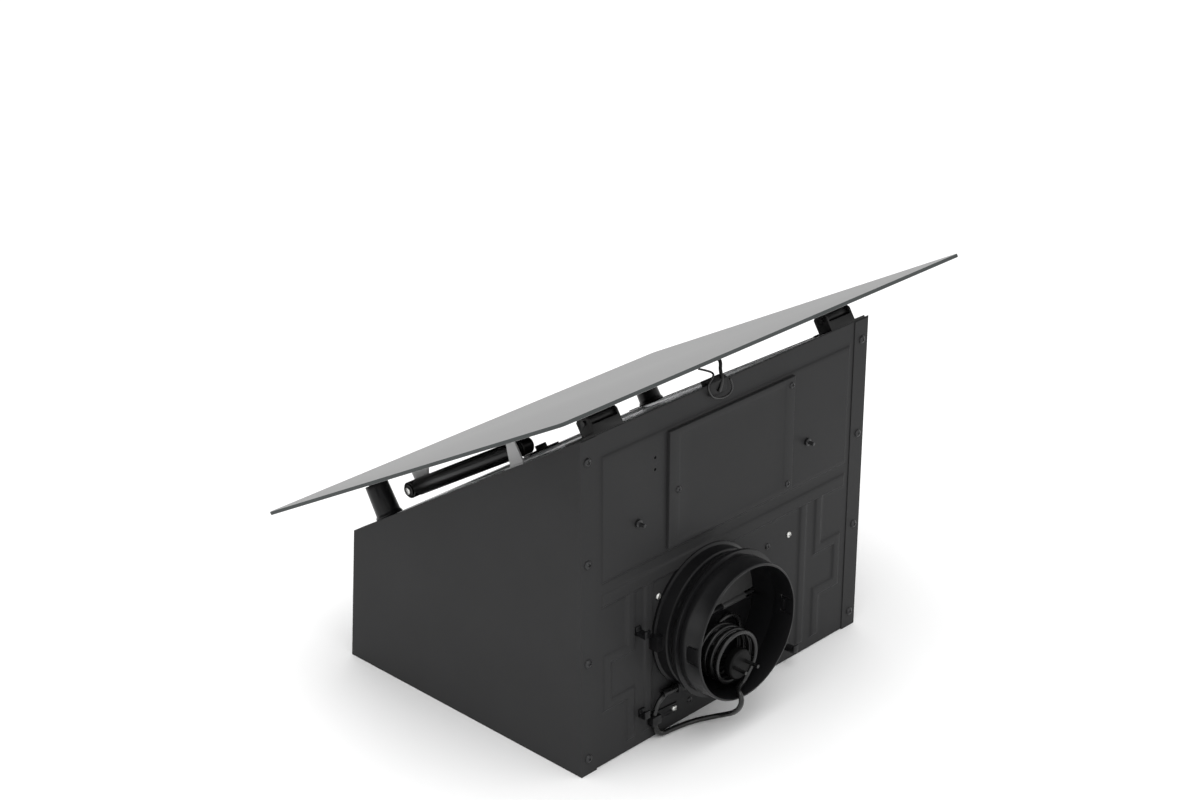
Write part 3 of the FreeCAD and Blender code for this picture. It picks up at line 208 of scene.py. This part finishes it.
def new_piece(name, mesh, finish, stands_for):
    """Links a finished mesh, lets it ride with the CAD nodes it stands for, and hides those."""
    mesh.materials.clear()
    mesh.materials.append(finish)
    made = bpy.data.objects.new(name, mesh)
    bpy.context.scene.collection.objects.link(made)
    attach(made, body_with(stands_for[0]) if stands_for else "casing")
    if stands_for:
        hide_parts(*stands_for)
    return made


def baked(source):
    """The evaluated mesh of an object, which is then removed."""
    bpy.context.view_layer.update()
    evaluated = source.evaluated_get(bpy.context.evaluated_depsgraph_get())
    result = bpy.data.meshes.new_from_object(evaluated)
    bpy.data.objects.remove(source)
    return result


def smooth_below(mesh, angle):
    """Smooth shading, with a sharp edge wherever the faces turn by more than an angle."""
    form = bmesh.new()
    form.from_mesh(mesh)
    for face in form.faces:
        face.smooth = True
    for edge in form.edges:
        edge.smooth = len(edge.link_faces) == 2 and edge.calc_face_angle(0) < math.radians(angle)
    form.to_mesh(mesh)
    form.free()


def eased(node, width, finish, name=None):
    """Stands for a CAD node with its sharp edges rounded over by width."""
    form = bmesh.new()
    form.from_mesh(frame["nodes"][node].data)
    bmesh.ops.remove_doubles(form, verts=form.verts, dist=2e-6)
    bmesh.ops.dissolve_limit(form, angle_limit=math.radians(1), verts=form.verts, edges=form.edges)
    mesh = bpy.data.meshes.new(name or f"{node}_eased")
    form.to_mesh(mesh)
    form.free()
    rough = bpy.data.objects.new("rough", mesh)
    bpy.context.scene.collection.objects.link(rough)
    rounding = rough.modifiers.new("rounding", "BEVEL")
    rounding.width, rounding.segments = width * MM, 2
    rounding.limit_method, rounding.angle_limit = "ANGLE", math.radians(32)
    rounding.use_clamp_overlap = True
    mesh = baked(rough)
    mesh.name = name or f"{node}_eased"
    smooth_below(mesh, 40)
    return new_piece(mesh.name, mesh, finish, [node])


# ---------------------------------------------------------------- pressed duct face
# The duct face is one pressed sheet: a raised field under the cover, a ledge across the middle, two
# straight beads beside the outlet and a square wave rib near each side. Its slopes are soft. Sizes are
# in millimetres.
face_low, face_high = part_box("duct_plate")
press_height, press_slope = 1.5, 2.6
outlet_low, outlet_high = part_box("outlet_collar")
outlet_x = (outlet_low.x + outlet_high.x) / 2
outlet_z = (outlet_low.z + outlet_high.z) / 2
duct_face, face_y = -178, -177 * MM
field, ledge = (-190, 211, 190, 349), (-190, 184, 190, 198)
half_rib, rib_foot, rib_top = 5.5, 14, 185
bead_x, rib_inside, rib_outside = 122, 148, 182
jog_low, jog_high = 69, 122
pressed = [field, ledge]
for side in (-1, 1):
    pressed.append((side * bead_x - half_rib, rib_foot, side * bead_x + half_rib, rib_top))
    for low_x, low_z, high_x, high_z in (
        (rib_inside - half_rib, rib_foot, rib_inside + half_rib, jog_low + half_rib),
        (rib_inside - half_rib, jog_low - half_rib, rib_outside + half_rib, jog_low + half_rib),
        (rib_outside - half_rib, jog_low - half_rib, rib_outside + half_rib, jog_high + half_rib),
        (rib_inside - half_rib, jog_high - half_rib, rib_outside + half_rib, jog_high + half_rib),
        (rib_inside - half_rib, jog_high - half_rib, rib_inside + half_rib, rib_top),
    ):
        if side < 0:
            low_x, high_x = -high_x, -low_x
        pressed.append((low_x, low_z, high_x, high_z))


def press_at(x, z):
    """How far the sheet stands out at a point, in millimetres."""
    deepest = max(min(x - a, c - x, z - b, d - z) for a, b, c, d in pressed)
    share = min(1, max(0, deepest / press_slope + 0.5))
    return press_height * share * share * (3 - 2 * share)


def lines_of(low, high, edges, step):
    """Grid lines: the press edges and their slopes, filled in evenly."""
    marks = {low, high}
    for edge in edges:
        for shift in (-0.5, -0.25, 0, 0.25, 0.5):
            marks.add(min(high, max(low, edge + shift * press_slope)))
    marks = sorted(marks)
    filled = []
    for start, end in zip(marks, marks[1:]):
        count = max(1, math.ceil((end - start) / step))
        filled += [start + (end - start) * i / count for i in range(count)]
    filled.append(high)
    return [v for i, v in enumerate(filled) if i == 0 or v - filled[i - 1] > 0.05]


grid_step, sheet_foot, sheet_top = 4, 1, 374
columns = lines_of(face_low.x / MM, face_high.x / MM, {v for r in pressed for v in (r[0], r[2])}, grid_step)
rows = lines_of(sheet_foot, sheet_top, {v for r in pressed for v in (r[1], r[3])}, grid_step)
sheet_form = bmesh.new()
grid = [[sheet_form.verts.new((x * MM, face_y - press_at(x, z) * MM, z * MM)) for x in columns]
        for z in rows]
hidden_edge = 75.8 * MM
for row, above in zip(grid, grid[1:]):
    for column in range(len(columns) - 1):
        corners = [row[column], row[column + 1], above[column + 1], above[column]]
        middle = sum((v.co for v in corners), Vector()) / 4
        if math.hypot(middle.x - outlet_x, middle.z - outlet_z) > hidden_edge:
            sheet_form.faces.new(corners)
bmesh.ops.delete(sheet_form, geom=[v for v in sheet_form.verts if not v.link_faces], context="VERTS")
sheet_mesh = bpy.data.meshes.new("pressed_duct_face")
sheet_form.to_mesh(sheet_mesh)
sheet_form.free()
sheet_piece = bpy.data.objects.new("rough", sheet_mesh)
bpy.context.scene.collection.objects.link(sheet_piece)
wall = sheet_piece.modifiers.new("wall", "SOLIDIFY")
wall.thickness, wall.offset = 0.9 * MM, -1
pilot_x, pilot_radius, drill_length = -115, 1.6, 8
drills = bmesh.new()
for hole_z in (310, 323):
    stand = Matrix.Translation((pilot_x * MM, duct_face * MM, hole_z * MM))
    stand = stand @ Matrix.Rotation(math.pi / 2, 4, "X")
    bmesh.ops.create_cone(drills, cap_ends=True, segments=20, radius1=pilot_radius * MM,
                          radius2=pilot_radius * MM, depth=drill_length * MM, matrix=stand)
drill_mesh = bpy.data.meshes.new("drills")
drills.to_mesh(drill_mesh)
drills.free()
drill = bpy.data.objects.new("drills", drill_mesh)
bpy.context.scene.collection.objects.link(drill)
pilot = sheet_piece.modifiers.new("pilot holes", "BOOLEAN")
pilot.operation, pilot.solver, pilot.object = "DIFFERENCE", "EXACT", drill
sheet_mesh = baked(sheet_piece)
bpy.data.objects.remove(drill)
slant_drop, slant_run, rim_height = 217, 342, 376
slope = math.atan2(slant_drop, slant_run)
corner = Vector((0, duct_face * MM, rim_height * MM))
down, off = Vector((0, math.cos(slope), -math.sin(slope))), Vector((0, math.sin(slope), math.cos(slope)))
fold_start, fold_end, fold_reach = 0.8, 12, 219
fold = bmesh.new()
fold.from_mesh(sheet_mesh)
section = ((fold_start, -1), (fold_end, -1), (fold_end, 0), (fold_start, 0))
ring = [corner + down * s * MM + off * h * MM for s, h in section]
ends = [[fold.verts.new(p + Vector((x * MM, 0, 0))) for p in ring] for x in (-fold_reach, fold_reach)]
fold.faces.new(ends[0])
fold.faces.new(list(reversed(ends[1])))
for i in range(4):
    j = (i + 1) % 4
    fold.faces.new([ends[0][j], ends[0][i], ends[1][i], ends[1][j]])
fold.to_mesh(sheet_mesh)
fold.free()
smooth_below(sheet_mesh, 50)
new_piece("pressed_duct_face", sheet_mesh, black_paint, ["duct_plate"])

# ---------------------------------------------------------------- access cover
# A shallow pan over the electronics, pressed from the same black sheet, screwed on at three places. Its
# edges are bent down with a small radius, and a faint crease runs up each side of its flat middle.
cover_low, cover_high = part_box("access_cover")


def edge_profile(low, high, border):
    """Grid lines across the cover: place, drop at the bent edge, and share of the dish there."""
    turn = [(0, 3.9), (0, 0.8), (0.08, 0.45), (0.25, 0.2), (0.5, 0.05), (0.9, 0)]
    crease = [(-2, 0), (-0.7, 0.3), (0.7, 0.7), (2, 1)]
    near = [(low + inset, drop, 0) for inset, drop in turn]
    near += [(low + border + shift, 0, share) for shift, share in crease]
    count = 10
    first, last = low + border + 2, high - border - 2
    middle = [(first + (last - first) * i / count, 0, 1) for i in range(1, count)]
    return near + middle + [(low + high - place, drop, share) for place, drop, share in reversed(near)]


side_border, end_border, dish_depth = 15, 6, 0.45
across = edge_profile(cover_low.x / MM, cover_high.x / MM, side_border)
upward = edge_profile(cover_low.z / MM, cover_high.z / MM, end_border)
cover_form = bmesh.new()
cover_grid = [[cover_form.verts.new((
    x * MM, cover_low.y + (max(drop_x, drop_z) + dish_depth * min(dish_x, dish_z)) * MM, z * MM))
    for x, drop_x, dish_x in across] for z, drop_z, dish_z in upward]
for row, above in zip(cover_grid, cover_grid[1:]):
    for column in range(len(row) - 1):
        cover_form.faces.new([row[column], row[column + 1], above[column + 1], above[column]])
bmesh.ops.remove_doubles(cover_form, verts=cover_form.verts, dist=1e-6)
cover_mesh = bpy.data.meshes.new("formed_access_cover")
cover_form.to_mesh(cover_mesh)
cover_form.free()
cover_piece = bpy.data.objects.new("rough", cover_mesh)
bpy.context.scene.collection.objects.link(cover_piece)
wall = cover_piece.modifiers.new("wall", "SOLIDIFY")
wall.thickness, wall.offset = 0.8 * MM, -1
cover_mesh = baked(cover_piece)
smooth_below(cover_mesh, 60)
new_piece("formed_access_cover", cover_mesh, black_paint, ["access_cover"])

# ---------------------------------------------------------------- screws and studs
# Pan head screws with a cross recess: black ones down the side flanges, in the cover and at two places
# beside the outlet, and bright zinc ones at the outlet's others. One tree of nodes sets a head on each
# place, its recess turned at random.
zinc = grained("bright_zinc", (0.62, 0.62, 0.6), 0.32, 0.18, 1400, 0.00002, 60, 0.1, Metallic=1.0)
black_zinc = grained("black_zinc", (0.02, 0.02, 0.021), 0.34, 0.12, 1400, 0.00002, 60, 0.1, Metallic=0.4)


def new_geometry_tree(name, inputs):
    """A node group that takes and gives geometry, with named inputs of (socket kind, value)."""
    group = bpy.data.node_groups.new(name, "GeometryNodeTree")
    group.interface.new_socket("Geometry", in_out="INPUT", socket_type="NodeSocketGeometry")
    group.interface.new_socket("Geometry", in_out="OUTPUT", socket_type="NodeSocketGeometry")
    for label, (kind, value) in inputs.items():
        made = group.interface.new_socket(label, in_out="INPUT", socket_type=f"NodeSocket{kind}")
        made.default_value = value
    tree = Tree(group)
    entry = group.nodes.new("NodeGroupInput")
    given = {socket.name: Wire(tree, socket) for socket in entry.outputs if socket.name}
    return group, tree, given


def give(group, tree, wire, finish):
    """Ends a tree: real geometry with its finish."""
    real = tree.node("GeometryNodeRealizeInstances", inputs={"Geometry": wire})
    done = tree.node("GeometryNodeSetMaterial", inputs={"Geometry": real, "Material": finish})
    leave = group.nodes.new("NodeGroupOutput")
    group.links.new(done.socket, leave.inputs[0])


def grown(points, group, values):
    """Runs a tree on loose points and returns the mesh."""
    seeds = bpy.data.meshes.new("seeds")
    seeds.from_pydata(points, [], [])
    host = bpy.data.objects.new("seeds", seeds)
    bpy.context.scene.collection.objects.link(host)
    growing = host.modifiers.new("growing", "NODES")
    growing.node_group = group
    for item in group.interface.items_tree:
        if item.in_out == "INPUT" and item.name in values:
            growing[item.identifier] = values[item.name]
    return baked(host)


def screw_tree(name, finish):
    """A pan head on each point, facing out of the duct face, its recess turned at random."""
    slot_width = 0.85 * MM
    group, tree, given = new_geometry_tree(name, {
        "Head radius": ("Float", 3.6 * MM), "Head height": ("Float", 2.2 * MM),
        "Recess": ("Float", 2.0 * MM),
    })
    radius, height, recess = given["Head radius"], given["Head height"], given["Recess"]
    dome = tree.node("GeometryNodeMeshUVSphere", inputs={"Segments": 28, "Rings": 14, "Radius": radius})
    squashed = tree.node("ShaderNodeCombineXYZ", inputs={0: 1.0, 1: 1.0, 2: 0.62})
    dome = tree.node("GeometryNodeTransform", inputs={"Geometry": dome, "Scale": squashed})
    sink = tree.node("ShaderNodeCombineXYZ", inputs={2: height * -0.9})
    block_size = tree.node("ShaderNodeCombineXYZ", inputs={0: radius * 3, 1: radius * 3, 2: height * 1.8})
    block = tree.node("GeometryNodeMeshCube", inputs={"Size": block_size})
    block = tree.node("GeometryNodeTransform", inputs={"Geometry": block, "Translation": sink})
    cut = [block]
    for long, wide in ((recess * 2, slot_width), (slot_width, recess * 2)):
        slot_size = tree.node("ShaderNodeCombineXYZ", inputs={0: long, 1: wide, 2: height})
        slot_cut = tree.node("GeometryNodeMeshCube", inputs={"Size": slot_size})
        lift = tree.node("ShaderNodeCombineXYZ", inputs={2: height})
        cut.append(tree.node("GeometryNodeTransform", inputs={"Geometry": slot_cut, "Translation": lift}))
    for tool in cut:
        carve = tree.tree.nodes.new("GeometryNodeMeshBoolean")
        carve.operation = "DIFFERENCE"
        tree.tree.links.new(dome.socket, carve.inputs["Mesh 1"])
        tree.tree.links.new(tool.socket, carve.inputs["Mesh 2"])
        dome = Wire(tree, carve.outputs["Mesh"])
    facing = tree.node("ShaderNodeCombineXYZ", inputs={0: math.pi / 2})
    turn = tree.node("FunctionNodeRandomValue", {"data_type": "FLOAT"},
                     {2: 0.0, 3: math.pi, "Seed": 7}, out=1)
    turn = tree.node("ShaderNodeCombineXYZ", inputs={2: turn})
    heads = tree.node("GeometryNodeInstanceOnPoints", inputs={
        "Points": given["Geometry"], "Instance": dome, "Rotation": facing})
    heads = tree.node("GeometryNodeRotateInstances", inputs={"Instances": heads, "Rotation": turn})
    give(group, tree, heads, finish)
    return group


def heads_of(name, parts, seat, group, finish, stands_for, values=None):
    """Screw heads at their (x, z) places; seat is how far their seats stand off the duct face."""
    mesh = grown([(x * MM, duct_face * MM - seat * MM, z * MM) for x, z in parts], group, values or {})
    smooth_below(mesh, 35)
    new_piece(name, mesh, finish, stands_for)


black_heads = screw_tree("black screw heads", black_zinc)
zinc_heads = screw_tree("bright screw heads", zinc)
flange_x, lowest_screw, screw_spacing = 210.3, 18.9, 110.6
flange_places = [(side * flange_x, lowest_screw + screw_spacing * i) for side in (-1, 1) for i in range(4)]
heads_of("side_screw_heads", flange_places, 0, black_heads, black_zinc, ["side_screws"],
         {"Head radius": 4.6 * MM, "Recess": 2.4 * MM})
heads_of("cover_screw_heads", [(-85, 279), (89, 337), (87, 224)], 4.5, black_heads, black_zinc,
         ["cover_screws"])
heads_of("bright_plate_screw_heads", [(-107, 164), (99, 157)], -1, zinc_heads, zinc, ["plate_screws"])
heads_of("dark_plate_screw_heads", [(64, 156), (-57, 20)], -1, black_heads, black_zinc, [])
heads_of("clamp_screw_head", [(-83, 22)], 1, zinc_heads, zinc, ["cord_clamp_screw"])
heads_of("drum_screw_head", [(-73.5, 158.5)], 2.6, zinc_heads, zinc, [],
         {"Head radius": 2 * MM, "Recess": 1.1 * MM})
eased("chimney_studs", 0.3, black_zinc)

# ---------------------------------------------------------------- outlet
# A moulded black drum, stepped like a cup, with a smooth collar snapped on it for the duct. Two
# half-moon flaps turn on a steel axle across the drum's root. Moulding leaves a fine satin grain.
moulded = grained("moulded_black", (0.006, 0.006, 0.0065), 0.30, 0.12, 500, 0.00002, 14,
                  Specular_IOR_Level=0.22)
for node, width in (
    ("outlet_base", 0.6), ("outlet_collar", 0.5), ("collar_clips", 0.3), ("spacer_clips", 0.5),
):
    eased(node, width, moulded)
# The upper flap takes a lighter grey and the lower one the moulded black. Both flaps are one material: the
# difference is painted light on the upper flap and painted shade on the lower.
flap_grey = grained("flap_grey", (0.045, 0.045, 0.045), 0.38, 0.1, 500, 0.00002, 14,
                    Specular_IOR_Level=0.2)
eased("flap_upper", 0.3, flap_grey)
eased("flap_lower", 0.3, moulded)
coat(black_zinc, "flap_axle")

# ---------------------------------------------------------------- mains cord
# A 5.6 mm rubber cord, 1.1 m long: out of the drum, down to its clamp, along the floor, over the
# collar's lip and stowed inside the collar. The number of turns there, and the plug in them, are a
# guess. The stretch from the floor on lifts out of the collar, so it is a cord of its own.
rubber = grained("cord_rubber", (0.005, 0.005, 0.005), 0.28, 0.15, 700, 0.00001, 40,
                 Specular_IOR_Level=0.45)
cord_radius = 2.8
coil_x, coil_z, coil_radius, coil_pitch, coil_turns, coil_front = -37, 81.5, 28, 8.3, 4, 49
floor_lift, lip_up = 3.4, 44.9
parting = (-52.5, 24, floor_lift + 3.7)
laid_route = [
    (-85, 4.15, 50), (-117, 4.15, 50), (-117, 4.55, floor_lift), (-87, 7.15, floor_lift),
    (-61, 14, floor_lift + 0.4), parting,
]
stowed_route = [
    parting, (-45, 33, floor_lift + 7), (-46, 49, lip_up - 25), (-50, 60.5, lip_up - 14),
    (-52.5, 67, lip_up - 3), (-52.5, 66.5, lip_up + 5.5), (-49, 57, lip_up + 9.5),
]
first_angle, steps = 45, 14


def coil_point(angle, radius):
    turn = math.radians(angle)
    return (coil_x + radius * math.sin(turn), coil_front - coil_pitch * angle / 360,
            coil_z - radius * math.cos(turn))


wide = coil_radius / math.cos(math.radians(180 / steps))
start = coil_point(first_angle, coil_radius)
before = math.radians(first_angle)
lead_in = 15.5
stowed_route.append((start[0] - lead_in * math.cos(before), start[1] + 0.7,
                     start[2] - lead_in * math.sin(before)))
turns = math.floor((360 * coil_turns - first_angle) / (360 / steps))
stowed_route += [coil_point(first_angle + (i + 0.5) * 360 / steps, wide) for i in range(turns)]
coil_back = coil_front - coil_pitch * coil_turns
tail, plug_z = coil_back - 2.9, coil_z - 6
stowed_route += [
    (coil_x + 28, coil_back - 1.4, 53.5), (coil_x + 42, coil_back - 2.4, coil_z - 16),
    (coil_x + 42, tail, coil_z + 15.7), (coil_x + 29.7, tail, coil_z + 28), (coil_x + 12.3, tail, coil_z + 28),
    (coil_x, tail, coil_z + 15.7), (coil_x, tail, plug_z + 7.6), (coil_x, tail + 7.6, plug_z),
    (coil_x, 32, plug_z),
]


def cord_run(name, route, radius, finish):
    """A round cord on a smooth curve past the points of its route, in millimetres off the duct face."""
    line = bpy.data.curves.new(name, "CURVE")
    line.dimensions = "3D"
    line.bevel_depth, line.bevel_resolution = radius * MM, 5
    line.use_fill_caps = True
    spline = line.splines.new("NURBS")
    spline.points.add(len(route) - 1)
    for place, (x, depth, z) in zip(spline.points, route):
        place.co = (x * MM, (duct_face - depth) * MM, z * MM, 1)
    spline.order_u, spline.use_endpoint_u, spline.resolution_u = 3, True, 8
    line.materials.append(finish)
    made = bpy.data.objects.new(name, line)
    bpy.context.scene.collection.objects.link(made)
    return made


laid_cord = cord_run("laid_cord", laid_route, cord_radius, rubber)
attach(laid_cord, "casing")
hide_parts("mains_cord")
stowed_cord = cord_run("stowed_cord", stowed_route, cord_radius, rubber)
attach(stowed_cord, "stowed_cord")
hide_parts("cord_over_lip", "cord_coil")
# The plug is made darker and duller than the other black mouldings: painted shade from the collar it sits in.
plug_black_painted_shade = grained("plug_black_painted_shade", (0.003, 0.003, 0.003), 0.4, 0.1, 500, 0.00002, 30,
                     Specular_IOR_Level=0.1)
plug_body = eased("mains_plug", 0.7, plug_black_painted_shade)
# The pins are black where sleeved. Their bare tips are only a dark metal, not bright: painted shade inside the
# collar.
pin_finish, pin_tree, pin_shader = new_finish("sleeved_pins", (0.01, 0.01, 0.01), 0.35)
sleeve_end = -0.2385
pin_place = pin_tree.node("ShaderNodeTexCoord", out=3)
pin_place = pin_tree.node("ShaderNodeSeparateXYZ", inputs={0: pin_place}, out=1)
tip = pin_tree.node("ShaderNodeMath", {"operation": "LESS_THAN"}, {0: pin_place, 1: sleeve_end})
drive(pin_shader, "Metallic", tip)
drive(pin_shader, "Base Color", pin_tree.node(
    "ShaderNodeMix", {"data_type": "RGBA"},
    {0: tip, 6: (0.008, 0.008, 0.008, 1), 7: (0.06, 0.06, 0.06, 1)}, out=2))
coat(pin_finish, "plug_pins")
eased("cord_boot", 0.3, rubber)
eased("cord_clamp", 0.6, moulded)

# ---------------------------------------------------------------- glass front
# A 4 mm sheet of toughened glass, printed grey on its back, with ground edges that look darker.
# Behind it a folded sheet carries it, glued on, with the touch unit screwed to that sheet.
glass_face, glass_tree, glass_shader = new_finish(
    "grey_printed_glass", (0.25, 0.25, 0.25), 0.45, Specular_IOR_Level=0.04)
smear = mottle(glass_tree, 5, 5)
drive(glass_shader, "Roughness", 0.42 + smear * 0.08)
drive(glass_shader, "Base Color", glass_tree.node(
    "ShaderNodeMix", {"data_type": "RGBA"},
    {0: smear, 6: (0.24, 0.24, 0.24, 1), 7: (0.26, 0.26, 0.26, 1)}, out=2))
glass_piece = eased("glass_panel", 0.8, glass_face)
glass_edge = grained("ground_glass_edge", (0.05, 0.055, 0.055), 0.5, 0.1, 300, 0.00002, 20,
                     Specular_IOR_Level=0.1)
glass_piece.data.materials.append(glass_edge)
broad = max(glass_piece.data.polygons, key=lambda face: face.area).normal.copy()
for face in glass_piece.data.polygons:
    face.material_index = 0 if abs(face.normal.dot(broad)) > 0.6 else 1
eased("panel_frame", 0.3, black_paint)
eased("touch_unit", 0.8, moulded)

# ---------------------------------------------------------------- hinges
# Black brackets over the top edge of the casing, each with a leaf on a pin that carries the front.
hinge_black = grained("hinge_black", (0.006, 0.006, 0.006), 0.36, 0.12, 700, 0.00002, 20,
                      Specular_IOR_Level=0.25)
eased("hinge_bases", 0.5, hinge_black)
eased("hinge_leaves", 0.5, hinge_black)
coat(hinge_black, "hinge_pins")

# ---------------------------------------------------------------- posts and gas strut
# Two moulded posts hold the closed glass off the casing on rubber buffers. A gas strut on the near
# side helps the front up: a glossy black tube, a chromed rod and two light grey sheet brackets.
eased("rest_posts", 0.8, moulded)
eased("post_buffers", 0.5, rubber)
tube_gloss = grained("tube_gloss", (0.006, 0.006, 0.006), 0.3, 0.06, 600, 0.00001, 20,
                     Specular_IOR_Level=0.3)
eased("strut_cylinder", 0.9, tube_gloss)
chrome = grained("rod_chrome", (0.75, 0.75, 0.75), 0.1, 0.06, 900, 0.000005, 20, 0.05, Metallic=1.0)
eased("strut_rod", 0.4, chrome)
eased("strut_fitting", 0.8, tube_gloss)
eased("strut_end_pin", 0.3, zinc)
bracket_grey = grained("bracket_grey", (0.55, 0.55, 0.55), 0.4, 0.12, 700, 0.00002, 20)
eased("strut_bracket_casing", 0.4, bracket_grey)
eased("strut_bracket_panel", 0.4, bracket_grey)

# ---------------------------------------------------------------- cable guide
# A guide hooked over the top rim, and two leads between the casing and the front: a thick one that
# runs straight up to the glass, and a thin one that loops out over the guide.
eased("cable_guide", 0.8, black_paint)


def lead(name, route, radius):
    """A thin lead from the casing to the front, laid as a round mesh along its route."""
    line = cord_run(name, route, 0, rubber)
    followed = baked(line)
    round_line = cord_run(name, route, radius, rubber)
    made = bpy.data.objects.new(name, baked(round_line))
    bpy.context.scene.collection.objects.link(made)
    smooth_below(made.data, 60)
    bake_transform(made)


lead("flat_lead", [
    (-25, 3.5, 366), (-18, 2, 375), (-13, -6, 383.5), (-10, -8, 388), (-7, -12, 391), (-6, -17, 390.5),
], 1.9)
lead("loop_lead", [
    (-8, 2.7, 375), (-4, 3.8, 367), (-7, 3.6, 358.5), (-20, 3.4, 357), (-34, 3.5, 362), (-41, 4, 371),
    (-42, 3.5, 379.5), (-31, 0.5, 382.5), (-25, -4, 384), (-30, -9, 387), (-38, -13, 390),
], 1.1)

# ---------------------------------------------------------------- grease filter
# An aluminium frame round a metal mesh pad, lifted out by its latch.
filter_metal = grained("filter_metal", (0.72, 0.73, 0.74), 0.36, 0.2, 260, 0.00004, 30, 0.08, Metallic=1.0)
eased("filter_frame", 0.5, filter_metal)
coat(filter_metal, "filter_mesh")
eased("filter_latch", 0.4, moulded)

# ---------------------------------------------------------------- blower and electronics
# Inside: a galvanised scroll housing, its moulded inlet ring and impeller, a motor and a control box.
folded_zinc = grained("galvanised", (0.42, 0.43, 0.44), 0.42, 0.2, 35, 0.00001, 24, 0.12, Metallic=1.0)
coat(folded_zinc, "blower_housing", "motor_bracket", "motor")
coat(moulded, "inlet_ring", "impeller", "control_box")

# ---------------------------------------------------------------- lamps
# Two round recessed lamps in the lower sheet, each a chromed bezel round a frosted lens.
eased("lamp_bezels", 0.4, chrome)
frosted, lens_tree, lens_shader = new_finish("frosted_lens", (0.8, 0.81, 0.83), 0.45, IOR=1.5)
drive(lens_shader, "Normal", lens_tree.node(
    "ShaderNodeBump", inputs={"Strength": 1.0, "Distance": 0.00008, "Height": mottle(lens_tree, 420, 1)}))
coat(frosted, "lamp_lenses")
